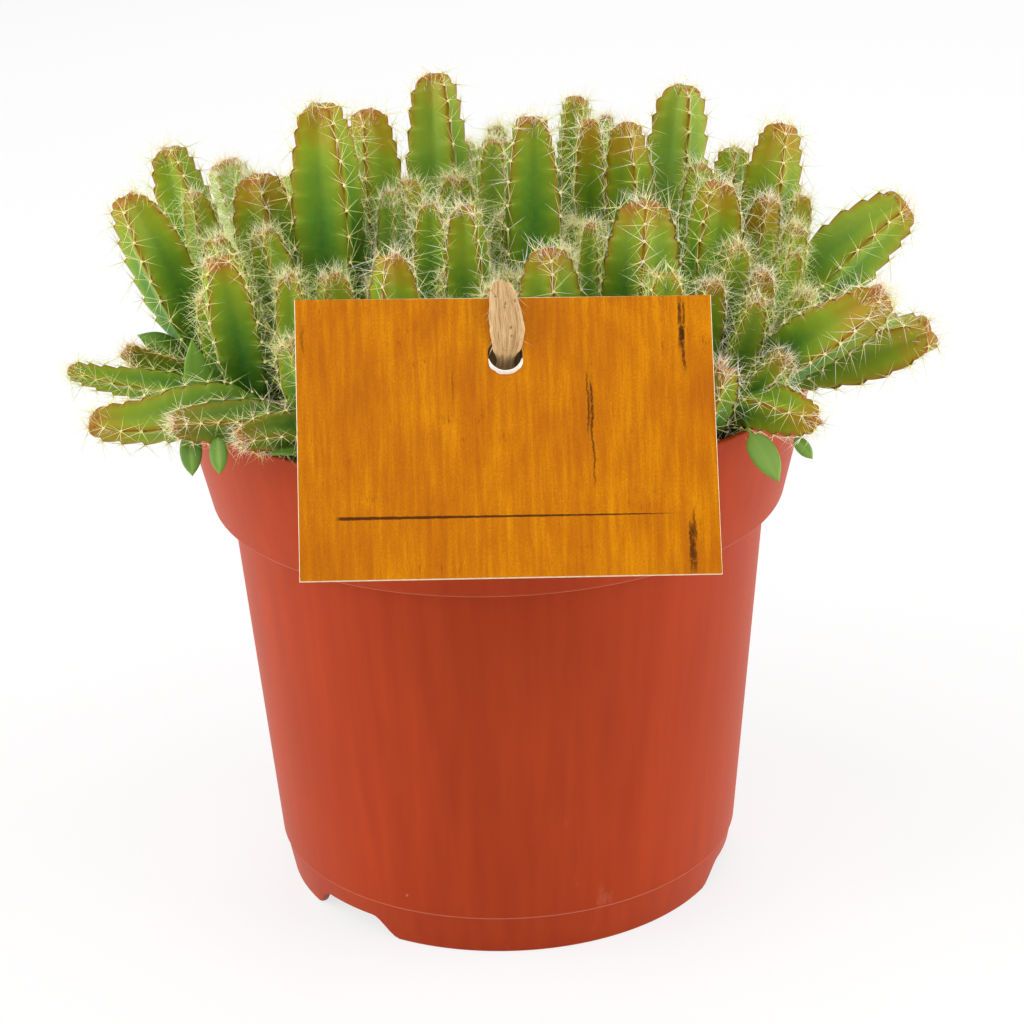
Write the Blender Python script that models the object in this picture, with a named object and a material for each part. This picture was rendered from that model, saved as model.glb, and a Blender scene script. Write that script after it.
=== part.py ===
"""Potted dragon fruit cactus: a clump of young ribbed stems and seed leaves in soil, in a round nursery pot
with a rim band and a notched foot. A wood-look card leans on the rim, held by a strip of raffia.

Sizes are in millimetres here and become metres in the meshes. +Z is up, the pot's axis is the Z axis, the pot
stands on Z = 0, and the card faces -Y."""

import math
from collections import namedtuple

import bmesh
import bpy
import numpy as np
from mathutils import Matrix

MM = 0.001
GAP = 0.3  # left between pieces that rest on or against each other

# Pot: the turned outline, as (radius, height), up the outside, over the rim and down the inside.
POT_HEIGHT = 111.2
RIM_RADIUS = 65.0
RIM_BAND_FOOT = 85.0  # height of the rim band's lower edge
RIM_BAND_RADIUS = 59.0
BODY_TOP_RADIUS = 55.2
FOOT_HEIGHT = 8.9  # up to the small step above the foot
FOOT_RADIUS = 46.7
WALL = 1.4
FLOOR_TOP = 6.2
FLOOR_UNDERSIDE = 4.8
POT_SEGMENTS = 96

# Foot notches: the foot's edge rises between three long feet.
NOTCHES = 3
NOTCH_HEIGHT = 4.6
NOTCH_FIRST = -45.0  # degrees from the front, towards +X
NOTCH_FLAT = 8.0  # half of the level stretch, degrees
NOTCH_SLOPE = 7.0  # each S-shaped end, degrees

# Drain holes through the floor
DRAIN_HOLES = 6
DRAIN_RADIUS = 4.0
DRAIN_CIRCLE = 31.0

# Soil
SOIL_TOP = 103.0
SOIL_SEGMENTS = 48

# Card: leans back on the rim, a little turned and tipped.
CARD_WIDTH = 78.0
CARD_HEIGHT = 53.0
CARD_THICKNESS = 0.8
CARD_FOOT = (2.0, -75.9, 96.3)  # middle of the front face's lower edge
CARD_LEAN = 32.6
CARD_TIP = 2.8
CARD_TURN = 5.1
HOLE_RADIUS = 3.3
HOLE_HEIGHT = 42.3  # centre of the hole above the card's lower edge

# Raffia: over the card's top edge, through the hole, and both ends down to the soil behind the card.
RAFFIA_WIDTH = 6.4
RAFFIA_THROUGH_HOLE = 5.2
RAFFIA_THICKNESS = 0.6

# Stems, as a grower would plot them: root (x, y) on the soil, tip (x, y, z), width, number of ribs, turn of
# the ribs in degrees, how far the middle is held up (arch), how near the root the bend is (knee, 0 to 1), and
# how far the outer part droops (sag).
Stem = namedtuple("Stem", "root tip width ribs turn arch knee sag", defaults=(4, 0, 0, 0.5, 0))
STEMS = (
    # left side
    Stem((-54, -3), (-71, -11, 152), 12, 4, 52),
    Stem((-53, 13), (-65, 12, 155), 11, 4, 23),
    Stem((-44, 34), (-56, 40, 144), 9, 5),
    Stem((-52, 5), (-59, 0, 149), 7, 4, 46),
    Stem((-41, 8), (-47, 8, 150), 12, 4, 14),
    Stem((-44, -14), (-54, -14, 144), 8, 5),
    Stem((-36, -9), (-45, -8, 143), 8, 4),
    Stem((-47, -24), (-52, -31, 145), 11, 4, 1),
    Stem((-38, -31), (-39, -30, 141), 8, 4),
    Stem((-29, -22), (-31, -21, 138), 9, 4),
    Stem((-30, -40), (-39, -40, 131), 8, 5),
    # lying out over the left of the rim
    Stem((-51, -21), (-82.5, -32, 124), 5.6, 4, 2, 7.4, 0.15, 2.5),
    Stem((-52, -12), (-72.5, -20, 123.5), 7.5, 4, 55, 5.5, 0.2, 3),
    Stem((-43, -33), (-77, -47, 119), 10, 4, 86, 16.9, 0.15, 4.5),
    Stem((-33, -47), (-61, -53, 120), 7.5, 4, 20, 14, 0.15, 2),
    # middle
    Stem((-31, -2), (-33, -2, 167), 14, 4, 31),
    Stem((-21, 14), (-24, 15, 161), 11, 4, 3),
    Stem((-10, 36), (-11, 38, 162), 16, 4, 3),
    Stem((8, 4), (9, 5, 161), 13, 4, 2),
    Stem((-7, 10), (-7, 9, 148), 9, 5),
    Stem((-17, 5), (-16, 4, 149), 8, 5),
    Stem((-12, -7), (-12, -6, 147), 9, 4, 46),
    Stem((-4, -20), (-5, -18, 150), 9, 4, 7),
    Stem((-18, -33), (-19, -32, 145), 10, 4, 21),
    Stem((11, -29), (11, -28, 144), 11, 4, 7),
    Stem((20, 20), (21, 20, 156), 8, 4, 46),
    Stem((30, 9), (28, 10, 158), 9, 4, 39),
    Stem((27, -20), (30, -22, 151), 13, 4, 32),
    # right side
    Stem((35, 30), (41, 34, 159), 15.5, 4, 72),
    Stem((47, 24), (51, 24, 148), 9, 4),
    Stem((52, 13), (60, 16, 155), 11, 4, 79),
    Stem((41, -3), (46, -4, 149), 11, 4, 68),
    Stem((42, -16), (48, -20, 141), 8, 4),
    Stem((31, -37), (33, -39, 142), 10, 4),
    Stem((38, -23), (43, -27, 136), 7, 4),
    Stem((36.5, -42), (43, -47.5, 126), 8.5, 4, 45),
    # lying out over the right of the rim
    Stem((42.5, -33), (60.5, -53, 116.5), 8.5, 4, 62, 13, 0.15, 2),
    Stem((54, 3), (84, 2, 141.5), 13.5, 4, 82, 4, 0.3),
    Stem((49, -25), (73, -45.5, 139), 11.5, 4, 34, 8, 0.3, 3),
    Stem((51, -13), (83.6, -37.5, 128), 14.8, 4, 48, 10, 0.15, 4),
    # back
    Stem((3, 45), (2, 46, 148), 8, 4),
    Stem((-7, 52), (-5, 52, 143), 8, 5),
    Stem((18, 44), (19, 46, 154), 8, 5),
    Stem((-29, 44), (-44, 66, 132), 11, 4, 20, 6, 0.3),
    Stem((-18, 49), (-20, 73, 128), 12, 4, 50, 9, 0.3),
    Stem((7, 50), (10, 77, 127), 11, 4, 30, 12, 0.3),
    Stem((27, 46), (38, 70, 132), 11, 4, 10, 9, 0.3),
    Stem((44, 34), (62, 53, 131), 12, 4, 40, 12, 0.25),
)
# Girth of a stem along its length: narrow at the root, full from SWELL on, and a blunt tip from SHOULDER on.
STEM_NECK = 0.45
STEM_SWELL = 0.6
STEM_SHOULDER = 0.72
STEM_BLUNTNESS = 2.6
STEM_STATIONS = (0.0, 0.12, 0.3, 0.48, 0.66, 0.82, 0.93, 0.985)
RIB_REACH = 1.1  # distance across two ribs, to the stem's mean width
RIB_HOLLOW = 0.95  # how far the flats between ribs sink in

# Seed leaves: root, tip, width, arch, knee
LEAVES = (
    ((-58, -7), (-71.5, -9, 122.5), 6, 6, 0.3),
    ((-50.5, -27), (-58.3, -29.8, 129), 6, -2, 1.0),
    ((-24, -52), (-43, -57, 114.5), 6, 8, 0.3),
    ((56, -8), (61, -10, 119), 6, 4, 0.25),
    ((-47, 25), (-64, 36, 106), 7, 24, 0.4),
    ((18, 53), (25, 71, 106), 7, 24, 0.4),
    ((54, 21), (69, 31, 106), 7, 24, 0.4),
)
LEAF_THICKNESS = 1.6
LEAF_STATIONS = (0.0, 0.18, 0.36, 0.54, 0.72, 0.88)


def clear_scene():
    for obj in list(bpy.data.objects):
        bpy.data.objects.remove(obj)


def material(name, colour, roughness):
    made = bpy.data.materials.get(name)
    if made:
        return made
    made = bpy.data.materials.new(name)
    made.use_nodes = True
    shader = made.node_tree.nodes["Principled BSDF"]
    shader.inputs["Base Color"].default_value = (*colour, 1.0)
    shader.inputs["Roughness"].default_value = roughness
    shader.inputs["Metallic"].default_value = 0.0
    return made


def add_object(name, points, faces, surface, sharp=math.radians(40)):
    """A mesh object from points in millimetres."""
    mesh = bpy.data.meshes.new(name)
    mesh.from_pydata((np.asarray(points, float) * MM).tolist(), [], faces)
    mesh.materials.append(surface)
    mesh.shade_smooth()
    mesh.set_sharp_from_angle(angle=sharp)
    obj = bpy.data.objects.new(name, mesh)
    bpy.context.scene.collection.objects.link(obj)
    return obj


def join_rings(count, size):
    """Quads between each ring of points and the next; seen from the last ring they run anticlockwise."""
    quads = []
    for ring in range(count - 1):
        for j in range(size):
            k = (j + 1) % size
            low, high = ring * size, (ring + 1) * size
            quads.append((low + j, low + k, high + k, high + j))
    return quads


def sprout(rings, tip):
    """A closed body: rings of points from the root up, closed flat at the root and drawn to one point at the tip."""
    count, size = len(rings), len(rings[0])
    points = np.concatenate([np.concatenate(rings), [tip]])
    faces = join_rings(count, size)
    last, apex = (count - 1) * size, len(points) - 1
    faces += [(last + j, last + (j + 1) % size, apex) for j in range(size)]
    faces.append(tuple(range(size - 1, -1, -1)))
    return points, faces


def growth_line(root, tip, arch, knee, stations, sag=0.0):
    """Points along a quadratic curve from the root on the soil to the tip, let down by a share of s^3 (1 - s)
    that comes to sag at its deepest, with the direction at each, and the level direction across the lean,
    which stays square to all of them."""
    start = np.array([*root, SOIL_TOP + GAP])
    end = np.array(tip, float)
    bend = start + knee * (end - start)
    bend[2] = (start[2] + end[2]) / 2 + arch
    s = np.array(stations)[:, None]
    line = (1 - s) ** 2 * start + 2 * s * (1 - s) * bend + s**2 * end
    along = 2 * (1 - s) * (bend - start) + 2 * s * (end - bend)
    deepest = 0.75**3 * 0.25
    line[:, 2:] -= sag / deepest * s**3 * (1 - s)
    along[:, 2:] -= sag / deepest * (3 * s**2 - 4 * s**3)
    along[0] = (0, 0, 1)  # the root is cut level, on the soil
    along /= np.linalg.norm(along, axis=1)[:, None]
    lean = end[:2] - start[:2]
    lean = lean / np.linalg.norm(lean)
    across = np.array([-lean[1], lean[0], 0.0])
    return line, along, across, end


def stem_girth(s):
    """Share of the full girth at each station s: a smooth swell from the neck, then a rounded, blunt tip."""
    swell = np.clip(s / STEM_SWELL, 0, 1)
    swell = STEM_NECK + (1 - STEM_NECK) * swell**2 * (3 - 2 * swell)
    past = np.clip((s - STEM_SHOULDER) / (1 - STEM_SHOULDER), 0, 1)
    return swell * np.sqrt(1 - past**STEM_BLUNTNESS)


def make_stem(name, plan, surface):
    """A ribbed stem: at each station a star of ribs and flats, square to the growth line."""
    stations = np.array(STEM_STATIONS)
    line, along, across, end = growth_line(plan.root, plan.tip, plan.arch, plan.knee, stations, plan.sag)
    reach = stem_girth(stations) * plan.width / 2 * RIB_REACH
    angles = math.radians(plan.turn) + np.arange(2 * plan.ribs) * math.pi / plan.ribs
    flat = math.cos(math.pi / plan.ribs) * RIB_HOLLOW
    star = np.where(np.arange(2 * plan.ribs) % 2 == 0, 1.0, flat)
    rings = []
    for centre, forward, radius in zip(line, along, reach):
        other = np.cross(forward, across)
        ring = np.cos(angles)[:, None] * across + np.sin(angles)[:, None] * other
        rings.append(centre + radius * star[:, None] * ring)
    points, faces = sprout(rings, end)
    return add_object(name, points, faces, surface)


def make_leaf(name, root, tip, width, arch, knee, surface):
    """A thick oval leaf: a flattened hexagon at each station, widest past the middle."""
    stations = np.array(LEAF_STATIONS)
    line, along, across, end = growth_line(root, tip, arch, knee, stations)
    spread = np.sin(math.pi * (0.12 + 0.88 * stations) ** 1.3) * width / 2
    rings = []
    for centre, forward, half in zip(line, along, spread):
        thick = np.cross(forward, across) * LEAF_THICKNESS / 2 * min(1.0, 0.4 + half / width)
        edge = across * half
        ring = [edge, edge / 2 + thick, -edge / 2 + thick, -edge, -edge / 2 - thick, edge / 2 - thick]
        rings.append(centre + np.array(ring))
    points, faces = sprout(rings, end)
    return add_object(name, points, faces, surface, sharp=math.radians(70))


def inner_radius(height):
    """Radius of the pot's inner wall at a height, in the body, the ledge and the rim band."""
    heights = (FLOOR_TOP, FOOT_HEIGHT, RIM_BAND_FOOT - 2.0, RIM_BAND_FOOT + 2.2, POT_HEIGHT)
    body_foot = FOOT_RADIUS + 2.0
    radii = (body_foot - WALL - 0.9, body_foot - WALL, BODY_TOP_RADIUS - WALL, RIM_BAND_RADIUS - WALL + 0.5,
             RIM_RADIUS - WALL)
    return float(np.interp(height, heights, radii))


def notch_lift(angle):
    """How far the foot's edge is raised at an angle in degrees from the front: level in the middle of a notch,
    with an S-shaped slope at each end."""
    pitch = 360 / NOTCHES
    off = abs((angle - NOTCH_FIRST + pitch / 2) % pitch - pitch / 2)
    share = min(max((NOTCH_FLAT + NOTCH_SLOPE - off) / NOTCH_SLOPE, 0.0), 1.0)
    return NOTCH_HEIGHT * share**2 * (3 - 2 * share)


def make_pot(surface):
    """The turned wall. Below FOOT_HEIGHT the outside and the foot's edge are squeezed up into the notches."""
    foot_inner = FOOT_RADIUS - WALL - 0.3
    body_foot = FOOT_RADIUS + 2.0
    profile = [
        (foot_inner, FLOOR_UNDERSIDE),
        (foot_inner + 0.2, 0.0),
        (FOOT_RADIUS - 0.5, 0.0),
        (FOOT_RADIUS, 0.6),
        (body_foot - 0.3, FOOT_HEIGHT - 0.2),
        (body_foot, FOOT_HEIGHT),
        (BODY_TOP_RADIUS, RIM_BAND_FOOT - 1.2),
        (BODY_TOP_RADIUS + 0.8, RIM_BAND_FOOT - 0.6),
        (RIM_BAND_RADIUS - 0.5, RIM_BAND_FOOT - 0.4),
        (RIM_BAND_RADIUS, RIM_BAND_FOOT + 0.4),
        (RIM_RADIUS, POT_HEIGHT - 0.7),
        (RIM_RADIUS - 0.5, POT_HEIGHT),
        (RIM_RADIUS - WALL, POT_HEIGHT),
        (inner_radius(SOIL_TOP), SOIL_TOP),
        (inner_radius(RIM_BAND_FOOT + 2.2), RIM_BAND_FOOT + 2.2),
        (inner_radius(RIM_BAND_FOOT - 2.0), RIM_BAND_FOOT - 2.0),
        (inner_radius(FOOT_HEIGHT), FOOT_HEIGHT),
        (inner_radius(FLOOR_TOP), FLOOR_TOP),
    ]
    lowered = 5  # profile points from the foot's inner edge to just under the step that move with a notch
    cone = (body_foot - 0.3 - FOOT_RADIUS) / (FOOT_HEIGHT - 0.8)
    points = []
    for index, (radius, height) in enumerate(profile):
        for j in range(POT_SEGMENTS):
            angle = 360 * j / POT_SEGMENTS
            lift = notch_lift(angle) * (1 - height / FOOT_HEIGHT) if 0 < index < lowered else 0.0
            out = radius + cone * lift
            points.append((out * math.sin(math.radians(angle)), -out * math.cos(math.radians(angle)), height + lift))
    faces = join_rings(len(profile), POT_SEGMENTS)
    under, top = len(points), len(points) + 1
    points += [(0, 0, FLOOR_UNDERSIDE), (0, 0, FLOOR_TOP)]
    last = (len(profile) - 1) * POT_SEGMENTS
    for j in range(POT_SEGMENTS):
        k = (j + 1) % POT_SEGMENTS
        faces.append((k, j, under))
        faces.append((last + j, last + k, top))
    pot = add_object("pot", points, faces, surface)
    bore(pot, "drain_hole_cutter", drain_centres(), DRAIN_RADIUS, FLOOR_UNDERSIDE - 2, FLOOR_TOP + 2)
    return pot


def drain_centres():
    turns = [2 * math.pi * (n + 0.5) / DRAIN_HOLES for n in range(DRAIN_HOLES)]
    return [(DRAIN_CIRCLE * math.sin(turn), -DRAIN_CIRCLE * math.cos(turn)) for turn in turns]


def bore(target, name, centres, radius, low, high, turn=None):
    """Cuts round holes along Z, or along the axis that turn gives, with one hidden cutter."""
    shape = bmesh.new()
    for x, y in centres:
        place = Matrix.Translation((x * MM, y * MM, (low + high) / 2 * MM))
        bmesh.ops.create_cone(shape, cap_ends=True, segments=16, radius1=radius * MM, radius2=radius * MM,
                              depth=(high - low) * MM, matrix=(turn or Matrix()) @ place)
    mesh = bpy.data.meshes.new(name)
    shape.to_mesh(mesh)
    shape.free()
    cutter = bpy.data.objects.new(name, mesh)
    bpy.context.scene.collection.objects.link(cutter)
    cutter.hide_render = True
    cutter.display_type = "WIRE"
    cutter.parent = target
    cut = target.modifiers.new("holes", "BOOLEAN")
    cut.operation = "DIFFERENCE"
    cut.object = cutter


def make_soil(surface):
    """One body that fills the pot up to SOIL_TOP, clear of its wall."""
    heights = (FLOOR_TOP + GAP, FOOT_HEIGHT, RIM_BAND_FOOT - 2.0, RIM_BAND_FOOT + 2.2, SOIL_TOP)
    profile = [(inner_radius(height) - GAP - 0.1, height) for height in heights]
    turns = np.arange(SOIL_SEGMENTS) * 2 * math.pi / SOIL_SEGMENTS
    rings = [np.stack([r * np.sin(turns), -r * np.cos(turns), np.full(SOIL_SEGMENTS, z)], 1) for r, z in profile]
    points, faces = sprout(rings, (0, 0, SOIL_TOP))
    return add_object("potting_soil", points, faces, surface)


def card_place():
    """The card's own axes: X along its width, Z up the card, and its front face towards -Y."""
    place = Matrix.Translation([v * MM for v in CARD_FOOT])
    place = place @ Matrix.Rotation(math.radians(CARD_TURN), 4, "Z")
    place = place @ Matrix.Rotation(math.radians(-CARD_LEAN), 4, "X")
    return place @ Matrix.Rotation(math.radians(CARD_TIP), 4, "Y")


def make_card(surface):
    half = CARD_WIDTH / 2
    outline = [(-half, 0), (half, 0), (half, CARD_HEIGHT), (-half, CARD_HEIGHT)]
    front = [(x, 0, z) for x, z in outline]
    back = [(x, CARD_THICKNESS, z) for x, z in outline]
    faces = [(0, 1, 2, 3), (7, 6, 5, 4)]
    faces += [(j, j + 4, (j + 1) % 4 + 4, (j + 1) % 4) for j in range(4)]
    card = add_object("label_card", front + back, faces, surface)
    through = Matrix.Translation((0, 0, HOLE_HEIGHT * MM)) @ Matrix.Rotation(math.radians(90), 4, "X")
    bore(card, "card_hole_cutter", [(0, 0)], HOLE_RADIUS, -3, 3, turn=through)
    card.matrix_world = card_place()
    return card


def make_raffia(surface):
    """A flat strip on a smooth line of (point, width): up from the soil behind the card, over its top edge, down
    its front, back through the hole and down to the soil again."""
    place = np.array(card_place())
    across = place[:3, 0]

    def on_card(out, up):
        return (place @ np.array([0, -out * MM, up * MM, 1.0]))[:3] / MM

    top = CARD_HEIGHT
    behind = -CARD_THICKNESS
    route = [
        ((0.0, -43.0, SOIL_TOP + GAP), RAFFIA_WIDTH * 0.7),
        ((0.2, -43.4, SOIL_TOP + 9), RAFFIA_WIDTH * 0.8),
        (on_card(behind - 5.0, top - 22), RAFFIA_WIDTH * 0.8),
        (on_card(behind - 2.6, top - 8), RAFFIA_WIDTH * 0.8),
        (on_card(behind - 1.4, top + 0.6), RAFFIA_WIDTH * 0.8),
        (on_card(0.1, top + 2.4), RAFFIA_WIDTH * 0.8),
        (on_card(1.5, top - 0.4), RAFFIA_WIDTH * 0.9),
        (on_card(1.7, top - 4), RAFFIA_WIDTH),
        (on_card(1.3, HOLE_HEIGHT + 3.8), RAFFIA_WIDTH),
        (on_card(0.2, HOLE_HEIGHT + 0.6), RAFFIA_THROUGH_HOLE),
        (on_card(behind - 0.6, HOLE_HEIGHT - 1.6), RAFFIA_THROUGH_HOLE),
        (on_card(behind - 3.2, HOLE_HEIGHT - 6), RAFFIA_WIDTH * 0.8),
        ((0.6, -50.0, SOIL_TOP + 8), RAFFIA_WIDTH * 0.8),
        ((0.4, -47.5, SOIL_TOP + GAP), RAFFIA_WIDTH * 0.7),
    ]
    knots = np.array([point for point, _ in route])
    widths = np.array([width for _, width in route])
    line = smooth_line(knots, 3)
    width = np.interp(np.linspace(0, len(route) - 1, len(line)), np.arange(len(route)), widths)
    along = np.gradient(line, axis=0)
    along -= (along @ across)[:, None] * across
    along[0], along[-1] = (0, 0, 1), (0, 0, -1)
    along /= np.linalg.norm(along, axis=1)[:, None]
    out = np.cross(along, across) * RAFFIA_THICKNESS / 2
    side = across * width[:, None] / 2
    rings = [centre + np.array([a + b, -a + b, -a - b, a - b]) for centre, a, b in zip(line, side, out)]
    points = np.concatenate(rings)
    faces = join_rings(len(rings), 4)
    last = (len(rings) - 1) * 4
    faces += [(3, 2, 1, 0), (last, last + 1, last + 2, last + 3)]
    return add_object("raffia_tie", points, faces, surface)


def smooth_line(knots, steps):
    """A Catmull-Rom curve through the knots, with so many steps between each two."""
    padded = np.concatenate([[2 * knots[0] - knots[1]], knots, [2 * knots[-1] - knots[-2]]])
    line = []
    for a, b, c, d in zip(padded, padded[1:], padded[2:], padded[3:]):
        for t in np.arange(steps) / steps:
            line.append(0.5 * (2 * b + (c - a) * t + (2 * a - 5 * b + 4 * c - d) * t**2
                               + (3 * b - a - 3 * c + d) * t**3))
    line.append(knots[-1])
    return np.array(line)


def main():
    clear_scene()
    make_pot(material("terracotta_plastic", (0.52, 0.10, 0.045), 0.5))
    make_soil(material("dark_soil", (0.03, 0.02, 0.013), 0.95))
    make_card(material("printed_card", (0.62, 0.27, 0.02), 0.55))
    make_raffia(material("raffia", (0.66, 0.47, 0.25), 0.8))
    flesh = material("stem_green", (0.17, 0.30, 0.05), 0.5)
    for number, plan in enumerate(STEMS, 1):
        make_stem(f"stem_{number:02d}", plan, flesh)
    leaf = material("leaf_green", (0.10, 0.27, 0.05), 0.4)
    for number, plan in enumerate(LEAVES, 1):
        make_leaf(f"seed_leaf_{number}", *plan, leaf)


main()
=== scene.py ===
"""Potted dragon fruit cactus, finished: ribbed young stems with areoles and bristles, fuzzy seedlings, seed
leaves, potting soil, a moulded nursery pot, a wood-print card and the raffia that holds it.

The packed model is the frame. Every plant stands where the planting plan below puts it, and the pot, the
soil, the card and the raffia take their places from the same named sizes as its source. Plan values are in
millimetres and become metres in the meshes."""

import math
from collections import namedtuple

import bpy
import numpy as np
from mathutils import Matrix


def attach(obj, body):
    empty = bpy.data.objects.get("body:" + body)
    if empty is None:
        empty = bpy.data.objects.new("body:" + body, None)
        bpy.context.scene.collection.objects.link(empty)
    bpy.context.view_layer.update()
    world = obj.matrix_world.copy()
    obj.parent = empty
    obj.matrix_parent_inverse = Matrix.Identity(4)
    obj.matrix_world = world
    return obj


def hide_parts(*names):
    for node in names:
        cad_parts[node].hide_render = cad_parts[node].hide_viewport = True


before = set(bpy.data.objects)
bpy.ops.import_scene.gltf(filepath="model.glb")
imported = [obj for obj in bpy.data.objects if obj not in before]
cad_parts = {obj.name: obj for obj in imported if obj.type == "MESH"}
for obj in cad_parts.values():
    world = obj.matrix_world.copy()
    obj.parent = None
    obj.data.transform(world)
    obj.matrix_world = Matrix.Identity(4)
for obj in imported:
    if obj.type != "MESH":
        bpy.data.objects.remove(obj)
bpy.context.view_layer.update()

bl_info = {
    "name": "Potted dragon fruit cactus",
    "version": (1, 0, 0),
    "blender": (4, 5, 0),
    "location": "3D View > Sidebar > Cactus",
    "description": "Builds a pot of young dragon fruit cacti, with its soil, card, raffia and studio",
    "category": "Add Mesh",
}

MM = 0.001
WHITE = (1, 1, 1, 1)
LIGHT_TARGET = (0, 0, 0.08)  # in metres, about the middle of the pot

# --- Planting plan ---------------------------------------------------------------------------------------

# Root (x, y) on the soil, tip (x, y, z), width, ribs, turn of the ribs in degrees, how far the middle is held
# up (arch), how near the root the bend is (knee), how far the outer half droops (sag), and the look.
Plant = namedtuple("Plant", "root tip width ribs turn arch knee sag look",
                   defaults=(4, 0, 0, 0.5, 0, "green"))

STEMS = (
    # left side
    Plant((-54, -3), (-71, -11, 152), 12, 4, 52),
    Plant((-53, 13), (-65, 12, 155), 11, 4, 23),
    Plant((-44, 34), (-56, 40, 144), 9, 5, look="domed"),
    Plant((-52, 5), (-59, 0, 149), 7, 4, 46, look="bristly"),
    Plant((-41, 8), (-47, 8, 150), 12, 4, 14, look="ruddy"),
    Plant((-44, -14), (-54, -14, 144), 8, 5, look="fuzzy"),
    Plant((-36, -9), (-45, -8, 143), 8, 4, look="fuzzy"),
    Plant((-47, -24), (-52, -31, 145), 11, 4, 1),
    Plant((-38, -31), (-39, -30, 141), 8, 4, look="fuzzy"),
    Plant((-29, -22), (-31, -21, 138), 9, 4, look="fuzzy"),
    Plant((-30, -40), (-39, -40, 131), 8, 5, look="fuzzy"),
    # lying out over the left of the rim
    Plant((-51, -21), (-82.5, -32, 124), 5.6, 4, 2, 7.4, 0.15, 2.5, "bristly"),
    Plant((-52, -12), (-72.5, -20, 123.5), 7.5, 4, 55, 5.5, 0.2, 3, "shade_darkened"),
    Plant((-43, -33), (-77, -47, 119), 10, 4, 86, 16.9, 0.15, 4.5, "sunny"),
    Plant((-33, -47), (-61, -53, 120), 7.5, 4, 20, 14, 0.15, 2, "shade_darkened"),
    # middle
    Plant((-31, -2), (-33, -2, 167), 14, 4, 31),
    Plant((-21, 14), (-24, 15, 161), 11, 4, 3),
    Plant((-10, 36), (-11, 38, 162), 16, 4, 3, look="spire"),
    Plant((8, 4), (9, 5, 161), 13, 4, 2, look="deep"),
    Plant((-7, 10), (-7, 9, 148), 9, 5, look="fuzzy"),
    Plant((-17, 5), (-16, 4, 149), 8, 5, look="fuzzy"),
    Plant((-12, -7), (-12, -6, 147), 9, 4, 46, look="deep"),
    Plant((-4, -20), (-5, -18, 150), 9, 4, 7, look="deep"),
    Plant((-18, -33), (-19, -32, 145), 10, 4, 21, look="ruddy"),
    Plant((11, -29), (11, -28, 144), 11, 4, 7, look="ruddy"),
    Plant((20, 20), (21, 20, 156), 8, 4, 46, look="ruddy"),
    Plant((30, 9), (28, 10, 158), 9, 4, 39, look="ruddy"),
    Plant((27, -20), (30, -22, 151), 13, 4, 32, look="deep"),
    # right side
    Plant((35, 30), (41, 34, 159), 15.5, 4, 72, look="spire"),
    Plant((47, 24), (51, 24, 148), 9, 4, look="bristly"),
    Plant((52, 13), (60, 16, 155), 11, 4, 79),
    Plant((41, -3), (46, -4, 149), 11, 4, 68, look="ruddy"),
    Plant((42, -16), (48, -20, 141), 8, 4, look="fuzzy"),
    Plant((31, -37), (33, -39, 142), 10, 4, look="bristly"),
    Plant((38, -23), (43, -27, 136), 7, 4, look="brown"),
    Plant((36.5, -42), (43, -47.5, 126), 8.5, 4, 45, look="rosy"),
    # lying out over the right of the rim
    Plant((42.5, -33), (60.5, -53, 116.5), 8.5, 4, 62, 13, 0.15, 2, "ruddy"),
    Plant((54, 3), (84, 2, 141.5), 13.5, 4, 82, 4, 0.3, look="sunny"),
    Plant((49, -25), (73, -45.5, 139), 11.5, 4, 34, 8, 0.3, 3, "rosy"),
    Plant((51, -13), (83.6, -37.5, 128), 14.8, 4, 48, 10, 0.15, 4, "sunny"),
    # back
    Plant((3, 45), (2, 46, 148), 8, 4, look="downy"),
    Plant((-7, 52), (-5, 52, 143), 8, 5, look="downy"),
    Plant((18, 44), (19, 46, 154), 8, 5, look="bristly"),
    Plant((-29, 44), (-44, 66, 132), 11, 4, 20, 6, 0.3),
    Plant((-18, 49), (-20, 73, 128), 12, 4, 50, 9, 0.3, look="sunny"),
    Plant((7, 50), (10, 77, 127), 11, 4, 30, 12, 0.3),
    Plant((27, 46), (38, 70, 132), 11, 4, 10, 9, 0.3, look="sunny"),
    Plant((44, 34), (62, 53, 131), 12, 4, 40, 12, 0.25),
)

# Small seedlings that the frame leaves out, by where they stand.
SEEDLINGS = {
    "right": (
        Plant((22, 36), (25, 38, 152), 6, look="downy"),
        Plant((19, -10), (20, -12, 144), 5.5, look="fuzzy"),
        Plant((40, 9), (43, 8, 149.5), 7, look="bristly"),
        Plant((48, 5), (56, 1, 144), 7, 4, 20, look="rosy"),
        Plant((54, -5), (61, -8, 141), 6, look="fuzzy"),
        Plant((56, 8), (64, 10, 141.5), 7, 4, 30, look="bristly"),
        Plant((49, -4), (60, -9, 136), 7, look="fuzzy"),
        Plant((47, -20), (53, -24, 136.6), 6, look="brown"),
        Plant((44, -25), (51, -33, 134), 7, look="bristly"),
        Plant((50, -20), (61.6, -22, 131.6), 6, 5, look="fuzzy"),
        Plant((57, -4), (80, -6, 124), 6, 5, 0, 10, 0.3, look="fuzzy"),
        Plant((46, -37), (55.6, -42, 125.5), 6, 5, 0, 4, 0.3, look="brown"),
        Plant((53, -12), (70, -14, 121), 6, 5, 0, 6, 0.3, look="fuzzy"),
    ),
    "left": (
        Plant((-52, -17), (-56.5, -19, 133.5), 5.5, 5, look="bristly"),
        Plant((-29, -48), (-48.5, -57, 118), 7.5, 5, 0, 11, 0.2, look="shade_darkened"),
        Plant((-20, 0), (-20, 0, 148), 7, 5, look="downy"),
        Plant((-26, 31), (-28, 32, 146), 9, 5, look="downy"),
        Plant((1, 28), (1.5, 29, 150), 10, 5, look="downy"),
        Plant((0, -36), (0, -36, 139), 6, 5, look="fuzzy"),
    ),
}
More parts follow.
